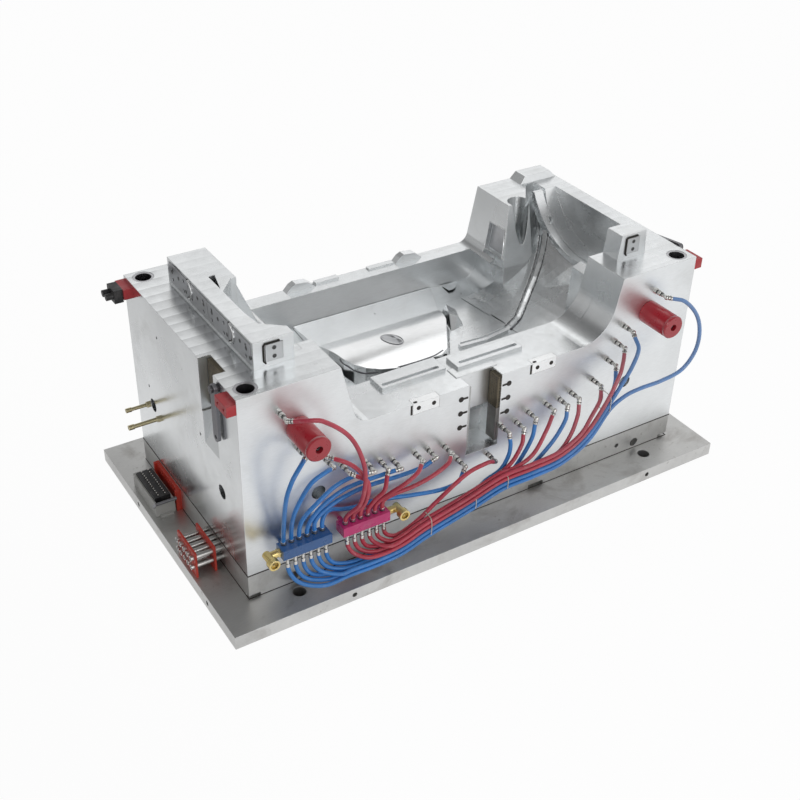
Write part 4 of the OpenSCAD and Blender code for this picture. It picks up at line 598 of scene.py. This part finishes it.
def wing_patch(name, side, tree):
    """Smooth patch over one wing, left out where the block has another shape."""
    scale = 1.0 if side > 0 else -WING_LEFT / WING_RIGHT
    xs = [x * scale for x in wing_columns()]
    rows = round((WING_BACK - WING_FRONT) / CELL)
    ys = [WING_FRONT + (WING_BACK - WING_FRONT) * j / rows for j in range(rows + 1)]
    verts, fits = [], []
    for y in ys:
        for x in xs:
            z = skin(x, y)
            slope_x = (skin(x + CELL / 2, y) - skin(x - CELL / 2, y)) / CELL
            slope_y = (skin(x, y + CELL / 2) - skin(x, y - CELL / 2)) / CELL
            normal = Vector((-slope_x, -slope_y, 1)).normalized()
            high = z + trim_height(x, y)
            cad = height_at(tree, x, y)
            fits.append(abs(cad - high) < 0.006 + 0.004 * abs(slope_x) and high < TOP_Z - 0.002)
            if fits[-1]:
                high = max(high, cad)
            verts.append(Vector((x, y, high)) + normal * SKIN_OFFSET)
    n = len(xs)
    faces = []
    for j in range(len(ys) - 1):
        for i in range(n - 1):
            a = j * n + i
            if all(fits[k] for k in (a, a + 1, a + n, a + n + 1)):
                faces.append((a, a + 1, a + n + 1, a + n))
    used = sorted({k for face in faces for k in face})
    place = {k: i for i, k in enumerate(used)}
    piece = Solid()
    piece.add([verts[k] for k in used], [[place[k] for k in face] for face in faces])
    return piece.build(name, MATS["block"], sharp=0.5)


block_tree = tree_of(NODES["cavity_block"])
wing_patch("wing_skin_right", 1, block_tree)
wing_patch("wing_skin_left", -1, block_tree)


def on_skin(x, y, lift):
    return (x, y, skin(x, y) + lift)


def fine_line(points, step=0.012):
    """Places every few millimetres along a line in plan."""
    out = []
    for (ax, ay), (bx, by) in zip(points, points[1:]):
        n = max(1, round(math.hypot(bx - ax, by - ay) / step))
        out += [(ax + (bx - ax) * k / n, ay + (by - ay) * k / n) for k in range(n)]
    return out + [points[-1]]


def beside(points, offset):
    """The line moved sideways in plan."""
    out = []
    for i, (x, y) in enumerate(points):
        ax, ay = points[max(0, i - 1)]
        bx, by = points[min(len(points) - 1, i + 1)]
        d = math.hypot(bx - ax, by - ay)
        out.append((x - (by - ay) / d * offset, y + (bx - ax) / d * offset))
    return out


# Dark strands painted as shade at the foot of the shelf and of the rail
TRIM_LINES = ((SHELF_UPPER, 0.0045), (SHELF_LOWER, 0.006), (beside(RAIL, 0.0115), 0.003),
              (beside(RAIL, -0.0115), 0.003))
for n, (line, lift) in enumerate(TRIM_LINES):
    path = [on_skin(x, y, lift) for x, y in fine_line(line) if x > WING_FLAT - 0.02]
    tube("trim_groove_%d" % n, path, 0.0019, MATS["screw"])


WALL_STEPS = 8


def wall_x(y, z):
    """Face of the leaning right wall."""
    return block_tree.ray_cast(Vector((0.3, y, z)), Vector((1, 0, 0)))[0].x


def wall_patch(name, y_beside, low, high, mat):
    """Smooth cover on the leaning right wall, with the wall's own profile beside it."""
    verts = []
    for k in range(WALL_STEPS + 1):
        y0, y1, z = (a + (b - a) * k / WALL_STEPS for a, b in zip(low, high))
        x = wall_x(y_beside, z) - 0.0008
        verts += [(x, y0, z), (x, y1, z)]
    piece = Solid()
    piece.add(verts, [(2 * k, 2 * k + 1, 2 * k + 3, 2 * k + 2) for k in range(WALL_STEPS)])
    return piece.build(name, MATS[mat])


wall_patch("wall_cover", -0.36, (-0.348, -0.272, 0.69), (-0.348, -0.272, 0.768), "block")
# Darker steel in the pillar pocket is painted shade; the bright tube round it is a painted highlight
wall_patch("pillar_pocket_shade", 0.29, (0.216, 0.334, 0.686), (0.24, 0.339, 0.79), "wear")
POCKET_RIM = ((0.213, 0.684), (0.222, 0.728), (0.24, 0.8), (0.343, 0.796), (0.339, 0.7), (0.337, 0.684),
              (0.213, 0.684))
rim = [(wall_x(0.37, z) - 0.0005, y, z) for y, z in POCKET_RIM]
tube("pillar_pocket_rim_highlight", rim, 0.002, MATS["insert"])


def draped(tree, at, radii, turn, lift, count=40):
    """Oval ring of places on a face that looks up."""
    ring = []
    for k in range(count):
        a = 2 * math.pi * k / count
        u, v = radii[0] * math.cos(a), radii[1] * math.sin(a)
        x = at[0] + u * math.cos(turn) - v * math.sin(turn)
        y = at[1] + u * math.sin(turn) + v * math.cos(turn)
        ring.append((x, y, height_at(tree, x, y) + lift))
    return ring


# Oval dish that stands for the recess in the dome, wider than the CAD's recess; its darker steel and dark
# edge are painted shade of the hollow
dome_tree = tree_of(NODES["dome_insert"])
RECESS_AT, RECESS_TURN = (-0.106, -0.004), 0.35
outer = draped(dome_tree, RECESS_AT, (0.031, 0.05), RECESS_TURN, 0.0012)
inner = draped(dome_tree, (RECESS_AT[0] - 0.003, RECESS_AT[1] + 0.002), (0.02, 0.038), RECESS_TURN, 0.0045)
count = len(outer)
ring_faces = [(k, (k + 1) % count, count + (k + 1) % count, count + k) for k in range(count)]
dish = Solid()
dish.add(outer + inner, ring_faces + [tuple(range(count, 2 * count))])
dish.build("dome_recess_shade", MATS["wear"], sharp=2.0)
tube("dome_recess_edge", outer, 0.0013, MATS["strap"], cyclic=True)

# Dark line painted as the shade of the groove round the front of the dome
DOME_EDGE = ((-0.342, -0.015, 0.604), (-0.331, -0.063, 0.589), (-0.303, -0.104, 0.577),
             (-0.265, -0.131, 0.579), (-0.157, -0.159, 0.589), (-0.017, -0.159, 0.589),
             (0.036, -0.147, 0.592))
tube("dome_groove_shade", centre_line(DOME_EDGE), 0.0036, MATS["strap"])

# Stand-off posts, turned with a groove behind the rim
POST_R = 0.046
for x, node in ((-0.76, "post_left"), (0.76, "post_right")):
    post = Solid()
    post.turned((x, -HALF_W, 0.72), (0, -1, 0),
                [(0.0, POST_R - 0.002), (0.002, POST_R), (0.127, POST_R), (0.1285, POST_R - 0.0012),
                 (0.131, POST_R - 0.0012), (0.1325, POST_R), (0.14, POST_R), (0.144, POST_R - 0.004),
                 (0.144, 0.0135), (0.114, 0.0135), (0.1135, 0.0001)], 64)
    obj = post.build("turned_" + node, MATS["post"], sharp=0.7)
    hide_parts(node)

# Collars and rings of the couplers
BALL_REACH = 0.022
sleeves, rings = Solid(), Solid()
for route in HOSES.values():
    tip = Vector(route[-1])
    ball = tip + (tip - Vector(route[-2])).normalized() * BALL_REACH
    sleeves.turned((ball.x, -HALF_W - 0.016, ball.z), (0, -1, 0),
                   [(0.0, 0.0085), (0.001, 0.0102), (0.012, 0.0102), (0.014, 0.008)], SMALL_SIDES)
    for gap, radius, width in ((0.009, 0.0088, 0.006), (0.032, 0.0084, 0.005)):
        rings.turned((ball.x, -HALF_W - gap, ball.z), (0, -1, 0), [(0.0, radius), (width, radius)],
                     SMALL_SIDES)
    out = (tip - ball).normalized()
    rings.turned(ball + out * 0.0125, out, [(0.0, 0.0094), (0.003, 0.0094)], SMALL_SIDES)
sleeves.build("coupler_sleeves", MATS["nickel"])
rings.build("coupler_rings", MATS["collar"])

# Rings of the bar's nipples
NIPPLE_STEP = 0.03
studs = Solid()
for bar_x, top_y in ((-0.785, -0.532), (-0.55, -0.545)):
    for k in range(6):
        x = bar_x + (k - 2.5) * NIPPLE_STEP
        studs.turned((x, top_y, 0.302), (0, 0, 1), [(0.0, 0.0098), (0.004, 0.0102), (0.0055, 0.009)],
                     SMALL_SIDES)
        studs.turned((x, -0.558, 0.252), (0, 0, 1), [(0.0, 0.0066), (0.004, 0.0066)], SMALL_SIDES)
studs.build("nipple_rings", MATS["collar"])

# Oil grooves, drawn as a bright tube for a painted highlight and a dark tube for painted shade, and dowel
# heads on the ridge's wear plates
WEAR_X = -0.8512
GROOVE_Z = 0.957
GROOVE_STEPS = 24
heads = Solid()
for n, y in enumerate((0.165, -0.173)):
    arc = []
    for k in range(GROOVE_STEPS + 1):
        a = math.radians(-78 + 156 * k / GROOVE_STEPS)
        arc.append((WEAR_X - 0.0006, y - 0.036 * math.cos(a), GROOVE_Z + 0.037 * math.sin(a)))
    tube("oil_groove_%d" % n, arc, 0.0048, MATS["insert"])
    shade = [(WEAR_X + 0.001, arc_y + 0.0085, arc_z) for _, arc_y, arc_z in arc]
    tube("groove_shade_%d" % n, shade, 0.0042, MATS["seam"])
for y, z in ((0.302, 0.96), (0.246, 0.959), (0.182, 0.936), (0.083, 0.959), (0.031, 0.96), (-0.036, 0.961),
             (-0.084, 0.961), (-0.154, 0.936), (-0.254, 0.965), (-0.3, 0.96), (-0.327, 0.938)):
    heads.turned((WEAR_X + 0.001, y, z), (-1, 0, 0),
                 [(0.0, 0.0075), (0.0012, 0.0075), (0.0012, 0.005)], SMALL_SIDES)
for x, y in ((-0.773, -0.3485), (0.755, -0.3515)):
    for z in (0.934, 0.966):
        heads.turned((x, y + 0.001, z), (0, -1, 0),
                     [(0.0, 0.0078), (0.0011, 0.0078), (0.0011, 0.006)], SMALL_SIDES)
heads.build("wear_plate_screws", MATS["collar"])

# Dark strips painted as the shade in the gaps round the two end plates
for n, (x, y, w) in enumerate(((-0.773, -0.3482, 0.032), (0.755, -0.3512, 0.03))):
    gap = [(x + w - 0.012, y, 0.988), (x - w - 0.001, y, 0.988), (x - w - 0.007, y, 0.981),
           (x - w - 0.007, y, 0.923), (x - w, y, 0.914)]
    tube("end_plate_gap_%d" % n, gap, 0.0032, MATS["seam"])

# Seams between the plates
for n, z in enumerate((PLATE_TOP, FOOT_Z)):
    loop = [(-HALF_L, -HALF_W, z), (HALF_L, -HALF_W, z), (HALF_L, HALF_W, z), (-HALF_L, HALF_W, z)]
    tube("plate_seam_%d" % n, loop, 0.0024, MATS["seam"], cyclic=True)

# Key slots beside the lip plates and the front pocket, drawn as dark painted shade on the face
SLOT_BACK = -HALF_W + 0.001
SLOT_FACE = -HALF_W - 0.0007
SLOT_DEPTH = 0.0018
slots = Solid()
for x in (-0.286, -0.222, 0.236, 0.3):
    slots.turned((x, SLOT_BACK, 0.633), (0, -1, 0), [(0.0, 0.0085), (SLOT_DEPTH, 0.0085)], SMALL_SIDES)
for x, side in ((-0.104, -1), (0.108, 1)):
    for z in (0.605, 0.543, 0.481):
        slots.turned((x, SLOT_BACK, z), (0, -1, 0), [(0.0, 0.011), (SLOT_DEPTH, 0.011)], SMALL_SIDES)
        slots.slab((min(x, x - side * 0.03), SLOT_FACE, z - 0.004),
                   (max(x, x - side * 0.03), SLOT_BACK, z + 0.004), 0.0003)
for x in (-0.254, 0.268):
    slots.slab((x - 0.066, SLOT_FACE, 0.612), (x - 0.058, SLOT_BACK, 0.652), 0.0003)
    slots.slab((x - 0.05, -HALF_W + 0.004, 0.6548), (x - 0.034, -HALF_W + 0.014, 0.6557), 0.003)
slots.build("key_slot_shade", MATS["seam"])

# Pins of the plug
PLUG_X = -1.041
PIN_START = 0.128 + 0.01
PIN_ROW = 0.165
pins = Solid()
for i in range(12):
    for dx in (-0.014, 0.014):
        y = PIN_START + i * PIN_ROW / 11
        pins.turned((PLUG_X + dx, y, 0.116), (0, 0, 1),
                    [(0.0, 0.0028), (0.018, 0.0028), (0.0195, 0.0015)], 12)
pins.build("plug_pins", MATS["nickel"])


BUNDLE_Y = -0.556


def tie(name, station, low, high):
    """Band round the hoses that cross a station between two heights."""
    found = []
    for line in LINES.values():
        for a, b in zip(line, line[1:]):
            crosses = (a.x - station) * (b.x - station) <= 0 and a.x != b.x
            if crosses and a.y < BUNDLE_Y:
                found.append(a + (b - a) * (station - a.x) / (b.x - a.x))
    near = [p for p in found if low < p.z < high]
    r = HOSE_D / 2 + 0.0012
    y0, y1 = min(p.y for p in near) - r, max(p.y for p in near) + r
    z0, z1 = min(p.z for p in near) - r, max(p.z for p in near) + r
    band = []
    for k in range(32):
        a = 2 * math.pi * k / 32
        cy, cz = math.cos(a), math.sin(a)
        band.append((station, (y0 + y1) / 2 + (y1 - y0) / 2 * math.copysign(abs(cy) ** 0.55, cy),
                     (z0 + z1) / 2 + (z1 - z0) / 2 * math.copysign(abs(cz) ** 0.55, cz)))
    tube(name, band, 0.0017, MATS["tie"], cyclic=True)


TIES = ((-0.307, 0.1, 0.26), (-0.113, 0.1, 0.27), (0.029, 0.1, 0.3), (0.494, 0.37, 0.5))
for n, (station, low, high) in enumerate(TIES):
    tie("hose_tie_%d" % n, station, low, high)


# Floor and surroundings
floor_mesh = bpy.data.meshes.new("floor")
FLOOR_HALF = 14
corners = [(x * FLOOR_HALF, y * FLOOR_HALF, 0) for x, y in ((-1, -1), (1, -1), (1, 1), (-1, 1))]
floor_mesh.from_pydata(corners, [], [(0, 1, 2, 3)])
floor = bpy.data.objects.new("floor", floor_mesh)
floor.location.z = -0.001
bpy.context.scene.collection.objects.link(floor)
ground = Mat("floor")
ground.finish((0.9, 0.9, 0.9), 0.7)
path = ground.add("ShaderNodeLightPath")
by_camera = path.outputs["Is Camera Ray"]
seen = ground.math("MAXIMUM", path.outputs["Is Glossy Ray"], path.outputs["Is Transmission Ray"])
seen = ground.math("MAXIMUM", by_camera, seen)
glow = ground.add("ShaderNodeEmission")
blend = ground.add("ShaderNodeMixShader")
# White for the camera, duller to the left in reflections, with painted shade on the floor under the plate
across = ground.part(ground.coord, "X")
along = ground.part(ground.coord, "Y")
dull = ground.ramp(across, -1.7, -0.9, 0.34, 0.8)
level = ground.math("MAXIMUM", ground.math("MULTIPLY", by_camera, 0.97), dull)
under_x = ground.ramp(ground.math("ABSOLUTE", across), 1.085, 1.09, 1.0, 0.0)
under_y = ground.ramp(ground.math("ABSOLUTE", along), 0.605, 0.61, 1.0, 0.0)
open_floor = ground.math("SUBTRACT", 1.0, ground.math("MULTIPLY", under_x, under_y))
lit = ground.scaled((0.95, 0.95, 0.95), dull)
ground.put(ground.bsdf.inputs["Base Color"], ground.mix(open_floor, (0.03, 0.03, 0.03), lit))
ground.put(blend.inputs[0], ground.math("MULTIPLY", ground.math("MULTIPLY", seen, level), open_floor))
ground.put(blend.inputs[1], ground.bsdf.outputs[0])
ground.put(blend.inputs[2], glow.outputs[0])
ground.put(ground.tree.nodes["Material Output"].inputs["Surface"], blend.outputs[0])
floor.data.materials.append(ground.mat)


def studio():
    """Bright above and to the right, darker to the left, white for the camera."""
    world = bpy.data.worlds.new("studio")
    bpy.context.scene.world = world
    world.use_nodes = True
    tree = world.node_tree
    tree.nodes.clear()

    def new(kind, **props):
        return new_node(tree, kind, **props)

    def stops(source, values):
        node = new("ShaderNodeValToRGB")
        ramp = node.color_ramp
        while len(ramp.elements) < len(values):
            ramp.elements.new(0.5)
        for element, (at, value) in zip(ramp.elements, values):
            element.position = at
            element.color = (value, value, value, 1)
        span = new("ShaderNodeMapRange")
        span.inputs["From Min"].default_value = -1.0
        tree.links.new(source, span.inputs["Value"])
        tree.links.new(span.outputs["Result"], node.inputs["Fac"])
        return node.outputs["Color"]

    split = new("ShaderNodeSeparateXYZ")
    tree.links.new(new("ShaderNodeTexCoord").outputs["Generated"], split.inputs[0])
    upright = stops(split.outputs["Z"], WORLD_UPRIGHT)
    across = stops(split.outputs["X"], WORLD_ACROSS)
    product = new("ShaderNodeMix", data_type="RGBA", blend_type="MULTIPLY")
    product.inputs[0].default_value = 1.0
    tree.links.new(upright, product.inputs[6])
    tree.links.new(across, product.inputs[7])
    shown = new("ShaderNodeBackground")
    shown.inputs["Strength"].default_value = WORLD_STRENGTH
    tree.links.new(product.outputs[2], shown.inputs["Color"])
    white = new("ShaderNodeBackground")
    white.inputs["Color"].default_value = (1, 1, 1, 1)
    mixed = new("ShaderNodeMixShader")
    tree.links.new(new("ShaderNodeLightPath").outputs["Is Camera Ray"], mixed.inputs[0])
    tree.links.new(shown.outputs[0], mixed.inputs[1])
    tree.links.new(white.outputs[0], mixed.inputs[2])
    tree.links.new(mixed.outputs[0], new("ShaderNodeOutputWorld").inputs["Surface"])


def area(name, at, target, size, power):
    light = bpy.data.lights.new(name, "AREA")
    light.shape = "RECTANGLE"
    light.size, light.size_y = size
    light.energy = power
    obj = bpy.data.objects.new(name, light)
    obj.location = at
    obj.rotation_euler = (Vector(target) - Vector(at)).to_track_quat("-Z", "Y").to_euler()
    bpy.context.scene.collection.objects.link(obj)


WORLD_UPRIGHT = ((0.0, 0.3), (0.48, 0.55), (0.53, 1.0), (0.77, 1.0), (0.8, 0.6), (0.84, 0.3), (1.0, 0.5))
WORLD_ACROSS = ((0.0, 0.6), (0.22, 0.4), (0.42, 0.55), (0.6, 1.0), (1.0, 1.0))
WORLD_STRENGTH = 0.93
studio()
area("top_softbox", (2.2, 1.3, 4.1), (0, 0, 0.6), (2.6, 2.2), 17)
area("front_softbox", (-0.5, -5.0, 2.6), (0, 0, 0.5), (3.5, 1.6), 40)
area("left_softbox", (-4.6, -0.5, 2.4), (0, 0, 0.5), (1.6, 2.2), 8)

lens = bpy.data.cameras.new("photo_camera")
lens.sensor_width = 36.0
lens.lens = FOCAL_PX / IMAGE_PX * 36.0
camera = bpy.data.objects.new("photo_camera", lens)
bpy.context.scene.collection.objects.link(camera)
turn = Matrix((RIGHT, [-v for v in DOWN], [-v for v in FORWARD])).transposed().to_4x4()
camera.matrix_world = Matrix.Translation(CAMERA_AT) @ turn
bpy.context.scene.camera = camera
bpy.context.scene.view_settings.view_transform = "Standard"
